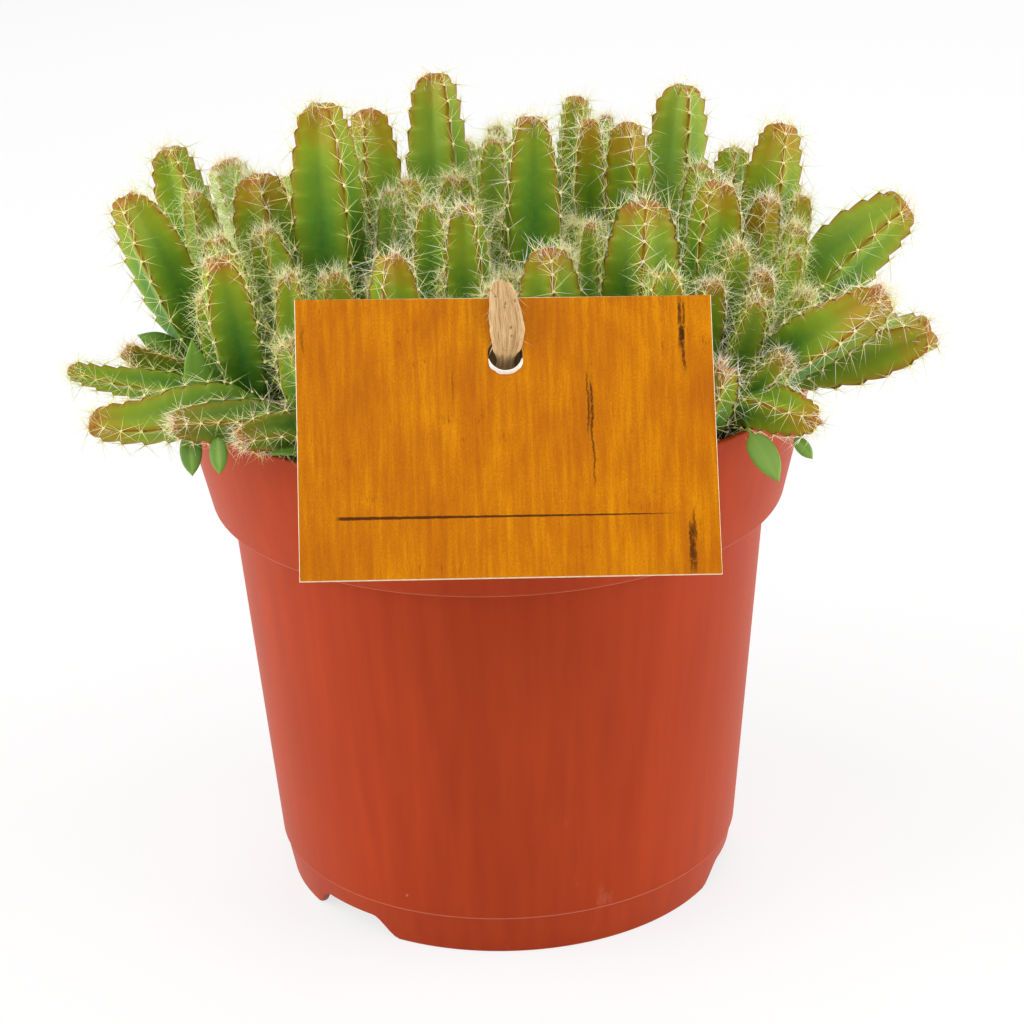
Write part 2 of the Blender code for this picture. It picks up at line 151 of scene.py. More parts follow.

# Seed leaves of the frame, then the smaller ones: root, tip, width, arch, knee, the way the upper side faces,
# the share of the length that is stalk, and how light it is (-1 to 1), which on the second seed leaf, in the
# shade behind a stem, is painted light. Some of the small ones hang from the underside of a lying stem, so
# their roots have a height too.
Leaf = namedtuple("Leaf", "root tip width arch knee facing stalk tone",
                  defaults=((0, -0.9, 0.45), 0.0, 0.0))
LEAVES = (
    Leaf((-58, -7), (-71.5, -9, 122.5), 6, 6, 0.3, stalk=0.4),
    # Tone 1.0: painted light, as this leaf sits in the shade behind a stem.
    Leaf((-50.5, -27), (-58.3, -29.8, 129), 6, -2, 1.0, (0.1, -0.9, 0.45), 0.4, 1.0),
    Leaf((-24, -52), (-43, -57, 114.5), 6, 8, 0.3, (0, -0.3, 1)),
    Leaf((56, -8), (61, -10, 119), 6, 4, 0.25, (0.6, -0.8, 0.2)),
    Leaf((-47, 25), (-64, 36, 106), 7, 24, 0.4, (-0.8, 0.5, 0.6)),
    Leaf((18, 53), (25, 71, 106), 7, 24, 0.4, (0.3, 0.9, 0.6)),
    Leaf((54, 21), (69, 31, 106), 7, 24, 0.4, (0.8, 0.5, 0.6)),
)
SMALL_LEAVES = (
    Leaf((-58, -48.5, 116.5), (-57.6, -54, 109.6), 4.4, 0, 0.5, tone=0.25),
    Leaf((-52.4, -53.5, 117), (-52, -58.5, 111.6), 3.6, 0, 0.5, tone=0.35),
    Leaf((47.5, -48, 113.5), (52.8, -57.5, 106), 5.4, 1, 0.5, stalk=0.15, tone=1.0),
    Leaf((56.5, -50, 112), (59.6, -52.5, 108.6), 2.8, 0, 0.5, tone=0.6),
    Leaf((-45, -30), (-49, -36, 117), 5, 2, 0.5),
    Leaf((-38, -41), (-45, -47, 116), 5.5, 3, 0.4),
)

# Filler seedlings: how far from the middle of the pot they may stand, how high they may be in front of the
# front row, behind the card, and from where to where the pieces that they make up reach.
FILLER_REACH = 56.0
FRONT_ROW, FRONT_HEIGHT = -33.0, 116.0
FILLER_BANDS = {"front": (-FILLER_REACH, -12), "middle": (-12, 15), "back": (15, FILLER_REACH)}

SOIL_TOP = 103.0
GAP = 0.3  # between pieces that stand on or against each other

# How a stem grows: its girth along its length, its ribs, and its areoles.
STEM_NECK = 0.45  # share of the full girth at the root
STEM_SWELL = 0.6  # share of the length by which it has its full girth
CROWN_GIRTH = 0.56  # share of the full girth that is left at the flat tip, on a ridge
CROWN_NOTCH = 0.22  # how much less of it is left between two ridges
CROWN_SHARPNESS = 22  # power with which the very end closes
RIB_REACH = 1.1  # how far out the ridges stand, to half the stem's width
RIB_CREASE = 0.86  # how deep the crease between two ribs is, as a share of a flat face's depth
RIB_ROUND = 0.05  # radians: how far the ridge's rounding spreads to each side
ROOT_TWIST = 0.12  # share of the length in which a leaning stem comes up square from the soil
PITCH_START, PITCH_GROWTH = 1.7, 0.27  # distance between two areoles: a start, and more per width
TIP_CROWDING = 1.5  # how many areoles more crowd at the tip than the pitch gives
TOOTH_START, TOOTH_GROWTH = 0.34, 0.042  # how far a ridge steps out under an areole, in the same way
TOOTH_SPREAD = 0.26  # share of the flank over which the step fades
SHOULDER_RISE = 0.16  # share of the pitch in which a ridge steps out under each areole
# Where the mesh has points: across each rib, and from one areole to the next.
RIB_MARKS = (-1, -0.62, -0.34, -0.14, 0, 0.14, 0.34, 0.62)
PITCH_MARKS = (0, 0.08, 0.16, 0.32, 0.5, 0.58, 0.66, 0.82)
FEW_RIB_MARKS = (-1, -0.4, 0, 0.4)
FEW_PITCH_MARKS = (0, 0.16, 0.5, 0.66)

# What each look changes: bristles per areole, their length and thickness, how downy the skin's colour is
# (pale, and below zero how dark, which on the darkest look is painted shade), how far the orange brown comes
# down from the tip (ruddy), how many crown bristles, where the tip starts to close and how bluntly, and which
# bristles it has.
Look = namedtuple("Look", "bristles length hair pale ruddy crown shoulder blunt kinds")
LOOKS = {
    "green": Look(8, 5.8, 0.9, 0.0, 0.40, 40, 0.72, 1.7, ("straw", "lime", "straw", "cream")),
    "deep": Look(8, 6.2, 0.9, -0.1, 0.2, 60, 0.72, 1.7, ("straw", "lime", "white", "cream")),
    "spire": Look(6, 4.8, 0.85, 0.35, 0.45, 34, 0.40, 1.35, ("straw", "lime", "straw", "cream")),
    "sunny": Look(8, 5.4, 0.85, 0.2, 0.40, 40, 0.64, 1.7, ("straw", "lime", "cream", "lime")),
    "ruddy": Look(8, 5.6, 0.9, 0.0, 0.65, 60, 0.72, 1.7, ("straw", "white", "lime", "cream")),
    "bristly": Look(10, 5.4, 0.75, 0.2, 0.35, 52, 0.70, 1.7, ("lime", "straw", "cream", "lime")),
    "fuzzy": Look(14, 6.0, 0.6, 0.1, 0.25, 80, 0.68, 1.6, ("lime", "cream", "lime", "straw")),
    "downy": Look(13, 5.2, 0.55, 0.4, 0.05, 80, 0.62, 1.8, ("white", "lime", "cream", "lime")),
    "domed": Look(13, 3.4, 0.55, 0.85, 0.05, 90, 0.76, 3.6, ("white", "lime", "white", "cream")),
    "brown": Look(9, 4.8, 0.8, -0.2, 0.75, 60, 0.72, 1.7, ("straw", "cream", "white")),
    # The darkest look: dark green skin, painted shade for stems that lie low at the front left in the others'
    # shade.
    "shade_darkened": Look(9, 4.8, 0.75, -0.6, 0.35, 90, 0.70, 1.8, ("straw", "cream", "lime", "rose")),
    "rosy": Look(8, 5.4, 0.85, -0.1, 0.75, 100, 0.70, 1.8, ("rose", "white", "straw", "cream")),
}
DOWN_HAIRS = 2600  # fine hairs over the one dome that is still all down
DOWN_STEM = 3  # number of that stem
STANDING_SHARE = 0.08  # share of the bristles that stand up from the skin
# Stems draw from their own number, and the rest from these: what is random in one never changes another.
DOWN_SEED, SEEDLING_SEED, LEAF_SEED, SMALL_LEAF_SEED, SPINE_SEED = 77, 100, 200, 300, 1000
BRISTLE_KINDS = ("straw", "cream", "lime", "white", "rose", "wool", "crown")


def tint(red, green, blue):
    """A colour from 0 to 255 per channel, as the linear RGBA that shaders take."""
    channels = np.array([red, green, blue]) / 255
    linear = np.where(channels <= 0.04045, channels / 12.92, ((channels + 0.055) / 1.055) ** 2.4)
    return (*(float(c) for c in linear), 1.0)


def colour_property(name, description, default):
    return bpy.props.FloatVectorProperty(name=name, description=description, default=default, size=4,
                                         subtype="COLOR", min=0.0, max=1.0)


def length_property(name, description, millimetres):
    return bpy.props.FloatProperty(name=name, description=description, default=millimetres * MM, min=0.0,
                                   subtype="DISTANCE", unit="LENGTH", precision=5)


def angle_property(name, description, degrees):
    return bpy.props.FloatProperty(name=name, description=description, default=math.radians(degrees),
                                   subtype="ANGLE", unit="ROTATION")


def power_property(name, description, watts):
    return bpy.props.FloatProperty(name=name, description=description, default=watts, min=0.0,
                                   subtype="POWER", unit="POWER")


def share_property(name, description, default):
    return bpy.props.FloatProperty(name=name, description=description, default=default, min=0.0, max=1.0,
                                   subtype="FACTOR")


# --- Meshes ----------------------------------------------------------------------------------------------


def smoothstep(value, low=0.0, high=1.0):
    """0 at low, 1 at high, with level ends in between: 3 t^2 - 2 t^3."""
    t = np.clip((value - low) / (high - low), 0, 1)
    return t * t * (3 - 2 * t)


def unit(vectors):
    return vectors / np.maximum(np.linalg.norm(vectors, axis=-1, keepdims=True), 1e-12)


def ring_faces(rows, size):
    """Quads between each ring of a stack and the next, anticlockwise seen from outside when each ring runs
    anticlockwise seen from the last one."""
    low = (np.arange(rows - 1)[:, None] * size + np.arange(size)).ravel()
    side = (np.arange(rows - 1)[:, None] * size + (np.arange(size) + 1) % size).ravel()
    return np.stack([low, side, side + size, low + size], 1)


def fan_faces(first, size, hub, outward=True):
    """Triangles from a ring of points to one hub."""
    here = first + np.arange(size)
    there = first + (np.arange(size) + 1) % size
    fan = np.stack([here, there, np.full(size, hub)], 1)
    return fan if outward else fan[:, ::-1]


def closed_faces(rows, size, mirrored=False):
    """Quads between the rings of a stack and a fan at each end, whose two hubs come after the rings' points.
    A mirrored stack's rings run the other way round."""
    hub = rows * size
    quads = ring_faces(rows, size)
    first = fan_faces(0, size, hub, outward=mirrored)
    last = fan_faces(hub - size, size, hub + 1, outward=not mirrored)
    return quads[:, ::-1] if mirrored else quads, np.concatenate([first, last])


class Shape:
    """Points in millimetres, faces and per-point values, gathered from several bodies into one mesh."""

    def __init__(self):
        self.points, self.quads, self.triangles = [], [], []
        self.quad_slots, self.triangle_slots, self.values, self.count = [], [], {}, 0

    def add(self, points, quads=(), triangles=(), slot=0, **values):
        """One more body: its faces count its own points, slot is a material's number or one per face."""
        points = np.asarray(points, float).reshape(-1, 3)
        for faces, kept, slots in ((quads, self.quads, self.quad_slots),
                                   (triangles, self.triangles, self.triangle_slots)):
            if len(faces):
                kept.append(np.asarray(faces) + self.count)
                slots.append(np.broadcast_to(slot, len(faces)))
        for name, value in values.items():
            self.values.setdefault(name, []).append(np.broadcast_to(value, len(points)).astype(float))
        self.points.append(points)
        self.count += len(points)

    def build(self, name, materials, sharp=None):
        """The mesh object. Corners sharper than the given angle, in degrees, stay crisp."""
        points = np.concatenate(self.points) * MM
        quads = np.concatenate(self.quads) if self.quads else np.empty((0, 4), int)
        triangles = np.concatenate(self.triangles) if self.triangles else np.empty((0, 3), int)
        slots = np.concatenate([*self.quad_slots, *self.triangle_slots])
        corners = np.concatenate([quads.ravel(), triangles.ravel()]).astype(np.int32)
        starts = np.concatenate([np.arange(len(quads)) * 4, quads.size + np.arange(len(triangles)) * 3])
        mesh = bpy.data.meshes.new(name)
        mesh.vertices.add(len(points))
        mesh.vertices.foreach_set("co", points.astype(np.float32).ravel())
        mesh.loops.add(len(corners))
        mesh.loops.foreach_set("vertex_index", corners)
        mesh.polygons.add(len(starts))
        mesh.polygons.foreach_set("loop_start", starts.astype(np.int32))
        for surface in materials:
            mesh.materials.append(surface)
        mesh.polygons.foreach_set("material_index", slots.astype(np.int32))
        mesh.update(calc_edges=True)
        for key, chunks in self.values.items():
            layer = mesh.attributes.new(key, "FLOAT", "POINT")
            layer.data.foreach_set("value", np.concatenate(chunks).astype(np.float32))
        mesh.shade_smooth()
        if sharp is not None:
            mesh.set_sharp_from_angle(angle=math.radians(sharp))
        made = bpy.data.objects.new(name, mesh)
        bpy.context.scene.collection.objects.link(made)
        return made


def settle(piece, slot, *nodes):
    """Rides the piece on the frame and lets it stand for the given nodes. The slot, meant as the name of its
    finish, is not used.
    """
    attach(piece, "root")
    if nodes:
        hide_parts(*nodes)
    return piece


def ripple(points, scale, seed):
    """Smooth irregularity from -1 to 1: a sum of three sines across the points in three slanted ways."""
    rng = np.random.default_rng(seed)
    ways = unit(rng.normal(size=(3, 3))) * scale * rng.uniform(0.7, 1.4, (3, 1))
    return np.sin(points @ ways.T + rng.uniform(0, 6, 3)).sum(-1) / 3


# --- Plants ----------------------------------------------------------------------------------------------


def growth_line(plan, s):
    """Centre and direction at each share s of the length, on a quadratic curve from the root on the soil to
    the tip, let down by a share of s^3 (1 - s) that comes to sag at its deepest, and the level direction
    across the lean, which stays square to all of them."""
    start = np.array([*plan.root, SOIL_TOP + GAP])
    end = np.array(plan.tip, float)
    bend = start + plan.knee * (end - start)
    bend[2] = (start[2] + end[2]) / 2 + plan.arch
    s = np.asarray(s, float)[..., None]
    centre = (1 - s) ** 2 * start + 2 * s * (1 - s) * bend + s**2 * end
    along = 2 * (1 - s) * (bend - start) + 2 * s * (end - bend)
    down = np.array([0, 0, -plan.sag / (0.75**3 * 0.25)])
    centre = centre + down * s**3 * (1 - s)
    along = unit(along + down * (3 * s**2 - 4 * s**3))
    turned = smoothstep(s, 0, ROOT_TWIST)
    along = unit(along * turned + np.array([0, 0, 1.0]) * (1 - turned))
    lean = end[:2] - start[:2]
    across = np.array([1.0, 0.0, 0.0])
    if np.linalg.norm(lean) > 0.01:
        lean = lean / np.linalg.norm(lean)
        across = np.array([-lean[1], lean[0], 0.0])
    return centre, along, across


def plan_length(plan):
    """Length of the growth line, from 40 points on it."""
    centre, _, _ = growth_line(plan, np.linspace(0, 1, 40))
    return float(np.linalg.norm(np.diff(centre, axis=0), axis=1).sum())


def stem_girth(plan, s, flank=0.0):
    """Share of the full girth at each share s of the length: a smooth swell from the neck, then a taper to
    the crown, 1 - (1 - crown) (share past the shoulder)^bluntness, closed at once at the tip itself. The
    crown is narrower between two ribs than on them, so the ridges stand up round it."""
    look = LOOKS[plan.look]
    swell = STEM_NECK + (1 - STEM_NECK) * smoothstep(s / STEM_SWELL)
    past = np.clip((s - look.shoulder) / (1 - look.shoulder), 0, 1)
    crown = CROWN_GIRTH - CROWN_NOTCH * flank
    closing = np.sqrt(np.maximum(1 - past**CROWN_SHARPNESS, 0))
    return swell * (1 - (1 - crown) * past**look.blunt) * closing


def areole_pitch(plan):
    """Distance between two areoles on one rib: wide stems have them farther apart."""
    return PITCH_START + PITCH_GROWTH * plan.width


def areole_phase(plan, s, length):
    """Counts areoles from the tip down: the distance from the tip over the pitch, plus a share that crowds
    them at the growing tip."""
    down = (1 - s) * length / areole_pitch(plan)
    return down + TIP_CROWDING * (1 - np.exp(-down))


def stem_point(plan, s, angle, length):
    """Points of the skin at each s and angle, with flank (0 on a ridge, 1 in the crease between two), phase
    (areoles counted from the tip), the direction out and the direction along. The radius is the girth times
    a star whose sides run straight from ridge to crease, r = v sin h / (v sin(h - a) + sin a), bulged a
    little, plus a step that comes out sharply under each areole and fades towards the next one down."""
    half = math.pi / plan.ribs
    turned = angle - math.radians(plan.turn)
    rib = np.floor(turned / (2 * half) + 0.5)
    off = np.abs(turned - rib * 2 * half)
    soft = np.sqrt(off**2 + RIB_ROUND**2) - RIB_ROUND
    flank = off / half
    crease = RIB_CREASE * math.cos(half)
    star = crease * math.sin(half) / (crease * np.sin(half - soft) + np.sin(soft))
    star = star * (1 + 0.03 * np.sin(math.pi * flank))
    phase = areole_phase(plan, s, length) + 0.5 * np.mod(rib, 2)
    t = np.mod(phase, 1.0)
    step = (1 - t) ** 0.8 * smoothstep(t, 0, SHOULDER_RISE) - 0.4
    girth = stem_girth(plan, s, flank)
    tooth = (TOOTH_START + TOOTH_GROWTH * plan.width) * np.clip(girth * 2.0, 0, 1)
    tooth = tooth * np.exp(-((flank / TOOTH_SPREAD) ** 2))
    radius = girth * star * plan.width / 2 * RIB_REACH + step * tooth
    centre, along, across = growth_line(plan, s)
    other = np.cross(along, across)
    radial = np.cos(angle)[..., None] * across + np.sin(angle)[..., None] * other
    return centre + radius[..., None] * radial, flank, phase, radial, along


def add_flesh(shape, plan, seed, fine=True):
    """One stem's skin: rings from the root up, at the same marks between each areole and the next, with
    points at the same marks across each rib. It ends in a shallow hollow at the growing tip."""
    length = plan_length(plan)
    look = LOOKS[plan.look]
    line = np.linspace(0, 1, 900)
    phase = areole_phase(plan, line, length)
    marks = np.array(PITCH_MARKS if fine else FEW_PITCH_MARKS)
    wanted = (np.arange(math.ceil(phase[0]))[:, None] + marks).ravel()[:0:-1]
    s = np.append(0.0, np.interp(-wanted[wanted < phase[0] - 0.03], -phase, line))
    spread = np.array(RIB_MARKS if fine else FEW_RIB_MARKS) * math.pi / plan.ribs
    angle = (np.arange(plan.ribs)[:, None] * 2 * math.pi / plan.ribs + spread).ravel()
    grid_s, grid_angle = np.broadcast_arrays(s[:, None], angle + math.radians(plan.turn))
    points, flank, phase, radial, _ = stem_point(plan, grid_s, grid_angle, length)
    points = points + radial * (ripple(points, 0.5, seed) * 0.012 * plan.width)[..., None]
    _, along, _ = growth_line(plan, 1.0)
    hubs = [growth_line(plan, 0.0)[0], np.array(plan.tip) - along * 0.06 * plan.width]
    shape.add(np.concatenate([points.reshape(-1, 3), hubs]), *closed_faces(len(s), len(angle)),
              flank=np.append(flank, [1.0, 0.5]), phase=np.append(phase, [9.3, 0.3]),
              rise=np.append(grid_s, [0.0, 1.0]), pale=look.pale, ruddy=look.ruddy,
              tone=np.random.default_rng(seed).uniform(-1, 1))


def areole_places(plan):
    """Where the areoles are: on each rib, on the shoulder under every whole number of the phase, from the
    tip down. Returns the points, the outward normals, the directions up the rib, the girth and the share
    s."""
    length = plan_length(plan)
    line = np.linspace(0.1, 0.995, 400)
    spots = []
    for rib in range(plan.ribs):
        phase = areole_phase(plan, line, length) + 0.5 * (rib % 2)
        mark = SHOULDER_RISE * 0.9
        wanted = np.arange(math.ceil(phase.min() - mark), math.floor(phase.max() - mark) + 1) + mark
        s = np.interp(-wanted, -phase, line)
        spots.append(np.stack([s, np.full(len(s), rib * 2 * math.pi / plan.ribs)], 1))
    s, angle = np.concatenate(spots).T
    points, _, _, radial, along = stem_point(plan, s, angle + math.radians(plan.turn), length)
    ahead = stem_girth(plan, np.minimum(s + 0.02, 1)) - stem_girth(plan, s - 0.02)
    slope = -ahead * plan.width / 2 * RIB_REACH / (0.04 * length)
    normal = unit(radial + np.clip(slope + 0.2, 0, 4)[:, None] * along)
    upward = unit(along - (along * normal).sum(-1, keepdims=True) * normal)
    return points, normal, upward, stem_girth(plan, s), s


def rings_about(ways, size, slant):
    """A ring of so many points about each direction, which starts square to it and to the slant."""
    side = unit(np.cross(ways, np.array(slant)))
    other = np.cross(ways, side)
    turn = np.arange(size) * 2 * math.pi / size
    return np.cos(turn)[:, None] * side[:, None, :] + np.sin(turn)[:, None] * other[:, None, :]


def add_spikes(shape, starts, ways, lengths, thickness, slots):
    """Thin straight bristles: three points at the foot and one at the tip."""
    ring = rings_about(ways, 3, (0.31, 0.53, 0.79))
    foot = (starts - ways * 0.15)[:, None, :] + ring * thickness[:, None, None]
    points = np.concatenate([foot, (starts + ways * lengths[:, None])[:, None, :]], 1)
    faces = np.array([[0, 1, 3], [1, 2, 3], [2, 0, 3], [2, 1, 0]])
    base = np.arange(len(starts))[:, None, None] * 4
    shape.add(points, triangles=(faces + base).reshape(-1, 3), slot=np.repeat(slots, 4))


def add_tufts(shape, centres, normals, widths, heights, slot):
    """Small low domes: a ring of six at the foot, a smaller one above it, and a hub at each end."""
    ring = rings_about(normals, 6, (0.43, 0.77, 0.21))
    width, height = widths[:, None, None], heights[:, None, None]
    lift = normals[:, None, :]
    foot = centres[:, None, :] + ring * width - lift * height * 0.4
    brow = centres[:, None, :] + ring * width * 0.75 + lift * height * 0.55
    hubs = np.stack([centres - normals * heights[:, None] * 0.5, centres + normals * heights[:, None]], 1)
    points = np.concatenate([foot, brow, hubs], 1)
    base = np.arange(len(centres))[:, None, None] * points.shape[1]
    quads, triangles = closed_faces(2, 6)
    shape.add(points, (quads + base).reshape(-1, 4), (triangles + base).reshape(-1, 3), slot=slot)


def draw_kinds(rng, kinds, count):
    """A random choice of bristle kinds, as slot numbers."""
    numbers = np.array([BRISTLE_KINDS.index(kind) for kind in kinds])
    return numbers[rng.integers(0, len(numbers), count)]


def add_spines(shape, plan, seed, thickness):
    """One stem's areoles and bristles. At each areole the bristles fan out all round, most of them close
    over the skin and one in twelve standing up. Old areoles low on the stem have lost some of theirs, and the
    growing tip carries a crown of short ones."""
    look = LOOKS[plan.look]
    rng = np.random.default_rng(SPINE_SEED + seed)
    points, normal, upward, girth, place = areole_places(plan)
    small = np.clip(plan.width / 11, 0.6, 1.0)
    pad_size, pad_height = 0.36 * small * (0.6 + 0.4 * girth), np.full(len(points), 0.34 * small)
    add_tufts(shape, points, normal, pad_size, pad_height, BRISTLE_KINDS.index("wool"))
    each = look.bristles
    count = len(points) * each
    start = np.repeat(points, each, 0) + np.repeat(upward, each, 0) * rng.uniform(-0.2, 0.3, (count, 1))
    out, up = np.repeat(normal, each, 0), np.repeat(upward, each, 0)
    around = np.tile(np.arange(each) * 2 * math.pi / each, len(points)) + rng.uniform(-0.5, 0.5, count)
    stands = rng.uniform(0, 1, count) < STANDING_SHARE
    tilt = np.where(stands, rng.uniform(0.4, 0.9, count), rng.uniform(1.02, 1.46, count))
    across = np.cross(out, up)
    way = out * np.cos(tilt)[:, None] + (up * (np.cos(around) + 0.3)[:, None]
                                         + across * np.sin(around)[:, None]) * np.sin(tilt)[:, None]
    length = look.length * rng.uniform(0.5, 1.2, count) * (0.7 + 0.3 * small)
    radius = thickness * look.hair * rng.uniform(0.8, 1.2, count)
    left = np.clip(1.9 * place - look.bristles * 0.035, 0.12, 1)
    kept = rng.uniform(0, 1, count) < np.repeat(left, each)
    add_spikes(shape, start[kept], unit(way[kept]), length[kept], radius[kept],
               draw_kinds(rng, look.kinds, int(kept.sum())))
    add_crown(shape, plan, look, rng, thickness)


def add_crown(shape, plan, look, rng, thickness):
    """The growing tip: small brown folds close round the centre, and short bristles standing up from them."""
    length = plan_length(plan)
    folds = 10 + 3 * plan.ribs
    angle = rng.uniform(0, 2 * math.pi, folds)
    points, _, _, radial, along = stem_point(plan, rng.uniform(0.965, 0.998, folds), angle, length)
    width = 0.024 * plan.width * rng.uniform(0.6, 1.3, folds)
    add_tufts(shape, points, unit(along + 0.5 * radial), width, width * 0.6, BRISTLE_KINDS.index("crown"))
    count = look.crown
    s = 1 - 0.07 * rng.uniform(0, 1, count) ** 1.3
    points, _, _, radial, along = stem_point(plan, s, rng.uniform(0, 2 * math.pi, count), length)
    way = unit(along + radial * rng.uniform(-0.2, 1.0, (count, 1)) + rng.normal(0, 0.3, (count, 3)))
    tall = rng.uniform(1.0, 4.6, count) * (0.6 + 0.4 * plan.width / 12)
    add_spikes(shape, points, way, tall, thickness * 0.9 * rng.uniform(0.7, 1.1, count),
               draw_kinds(rng, ("rose", "white", "cream", "rose", "straw"), count))


def add_down(shape, plan, rng, thickness):
    """Short fine hairs all over the upper half of a stem, nearly square to its skin."""
    length = plan_length(plan)
    s = 1 - 0.5 * rng.uniform(0, 1, DOWN_HAIRS) ** 0.8
    angle = rng.uniform(0, 2 * math.pi, DOWN_HAIRS)
    points, _, _, radial, along = stem_point(plan, s, angle, length)
    rise = smoothstep(s, 0.8, 1.0)[:, None] * 1.6
    way = unit(radial + along * (0.35 + rise) + rng.normal(0, 0.35, points.shape))
    rosy = rng.uniform(0, 1, DOWN_HAIRS) < smoothstep(s, 0.86, 1.0) * 0.7
    kinds = np.where(rosy, BRISTLE_KINDS.index("rose"),
                     draw_kinds(rng, ("white", "cream", "white", "lime"), DOWN_HAIRS))
    lengths = rng.uniform(1.3, 2.4, DOWN_HAIRS)
    add_spikes(shape, points, way, lengths, np.full(DOWN_HAIRS, thickness * 0.55), kinds)


def filler_plan(settings):
    """Tiny seedlings wherever the clump leaves bare soil: places are drawn in turn and kept if they stand
    clear of every plant so far. They lean outwards, and the ones near the middle are the tallest."""
    rng = np.random.default_rng(settings.scatter_seed)
    planted = [*STEMS, *(plant for group in SEEDLINGS.values() for plant in group)]
    heights = np.array([105.0, 112.0, 120.0, 130.0])
    share = (heights[:, None] - SOIL_TOP) / (np.array([p.tip[2] for p in planted]) - SOIL_TOP)
    roots, tips = np.array([p.root for p in planted], float), np.array([p.tip[:2] for p in planted], float)
    spots = roots + np.clip(share, 0, 1)[..., None] * (tips - roots)
    reach = np.array([p.width for p in planted]) * 0.42
    kept = []
    for _ in range(settings.scatter_tries):
        x, y = rng.uniform(-FILLER_REACH, FILLER_REACH, 2)
        width, out = rng.uniform(4.0, 6.2), math.hypot(x, y)
        tall = 134 - 14 * (out / FILLER_REACH) ** 2 + rng.uniform(-9, 5)
        look = ("fuzzy", "bristly", "downy", "fuzzy")[rng.integers(4)]
        apart = np.hypot(spots[..., 0] - x, spots[..., 1] - y)
        if out > FILLER_REACH or np.any(apart < reach + width * 0.55):
            continue
        if any(math.hypot(p.root[0] - x, p.root[1] - y) < (p.width + width) * 0.62 for p in kept):
            continue
        if y < FRONT_ROW:
            tall = min(tall, FRONT_HEIGHT)
        kept.append(Plant((x, y), (x * 1.06, y * 1.06, tall), width, 4 + int(rng.integers(2)), look=look))
    return kept


def add_leaf(shape, plan, seed):
    """A thick seed leaf with its upper side facing the given way: past the stalk, at each share s of the
    blade, a lens-shaped section whose half width follows s^0.6 (1 - s)^0.8, which is broad before the middle
    and comes to a short point, with a shallow groove along the upper side."""
    rows, size = 26, 20
    s = np.linspace(0, 1, rows + 1)[:-1]
    start = np.array([*plan.root, SOIL_TOP + GAP][:3])
    end = np.array(plan.tip, float)
    bend = start + plan.knee * (end - start)
    bend[2] = (start[2] + end[2]) / 2 + plan.arch
    t = s[:, None]
    centre = (1 - t) ** 2 * start + 2 * t * (1 - t) * bend + t**2 * end
    along = unit(2 * (1 - t) * (bend - start) + 2 * t * (end - bend))
    across = unit(np.cross(along, np.array(plan.facing)))
    upper = np.cross(across, along)
    blade = np.clip((s - plan.stalk) / (1 - plan.stalk), 0, 1)
    lobe = np.minimum(1, 2.52 * blade**0.6 * (1 - blade) ** 0.8)
    spread = (0.12 + 0.88 * lobe) * (1 - s**12) * plan.width / 2
    thick = 0.8 * np.minimum(1.0, 0.35 + 1.3 * spread / plan.width)
    turn = np.arange(size) * 2 * math.pi / size
    side, lift = np.cos(turn), np.sin(turn)
    groove = np.exp(-((side / 0.18) ** 2)) * (lift > 0) * 0.2
    cup = side**2 * 0.16 * spread[:, None]
    height = thick[:, None] * (np.sign(lift) * np.abs(lift) ** 1.2 - groove) + cup
    points = (centre[:, None, :] + across[:, None, :] * (side * spread[:, None])[..., None]
              + upper[:, None, :] * height[..., None])
    points = points + upper[:, None, :] * (ripple(points, 0.6, seed) * 0.15)[..., None]
    shape.add(np.concatenate([points.reshape(-1, 3), [centre[0], end]]),
              *closed_faces(rows, size, mirrored=True),
              flank=np.append(np.tile(np.abs(side), rows), [0.0, 0.0]),
              rise=np.append(np.repeat(s, size), [0.0, 1.0]), tone=plan.tone)


# --- Pot and soil ----------------------------------------------------------------------------------------

POT_HEIGHT = 111.2
RIM_RADIUS = 65.0
RIM_BAND_FOOT = 85.0
RIM_BAND_RADIUS = 59.0
BODY_TOP_RADIUS = 55.2
FOOT_HEIGHT = 8.9
FOOT_RADIUS = 46.7
BODY_FOOT = FOOT_RADIUS + 2.0
WALL = 1.4
FLOOR_TOP = 6.2
FLOOR_UNDERSIDE = 4.8
NOTCHES = 3
NOTCH_HEIGHT = 4.6
NOTCH_FIRST = -45.0
NOTCH_FLAT = 8.0
NOTCH_SLOPE = 7.0
DRAIN_HOLES = 6
DRAIN_RADIUS = 4.0
DRAIN_CIRCLE = 31.0
POT_SHARPNESS = 38.0  # degrees past which a corner of the pot stays crisp
PERLITE_SHARE = 0.08  # share of the loose crumbs that are perlite


def inner_radius(height):
    """Radius of the pot's inner wall at a height, in the body, the ledge and the rim band."""
    heights = (FLOOR_TOP, FOOT_HEIGHT, RIM_BAND_FOOT - 2.0, RIM_BAND_FOOT + 2.2, POT_HEIGHT)
    radii = (BODY_FOOT - WALL - 0.9, BODY_FOOT - WALL, BODY_TOP_RADIUS - WALL, RIM_BAND_RADIUS - WALL + 0.5,
             RIM_RADIUS - WALL)
    return float(np.interp(height, heights, radii))


def rounded_outline(knots, steps=6):
    """An outline through (radius, height, rounding) knots, where each corner is a quadratic curve that starts
    and ends so far from it, or at 45% of a shorter side."""
    knots = np.array(knots, float)
    spots, cut = knots[:, :2], knots[:, 2]
    reach = np.linalg.norm(np.diff(spots, axis=0), axis=1) * 0.45
    way = unit(np.diff(spots, axis=0))
    size = np.minimum(cut[1:-1], np.minimum(reach[:-1], reach[1:]))[:, None]
    start, corner, end = spots[1:-1] - way[:-1] * size, spots[1:-1], spots[1:-1] + way[1:] * size
    t = np.linspace(0, 1, steps)[None, :, None]
    curves = (1 - t) ** 2 * start[:, None] + 2 * t * (1 - t) * corner[:, None] + t**2 * end[:, None]
    outline = np.concatenate([spots[:1], curves.reshape(-1, 2), spots[-1:]])
    keep = np.append(True, np.linalg.norm(np.diff(outline, axis=0), axis=1) > 1e-4)
    return outline[keep]


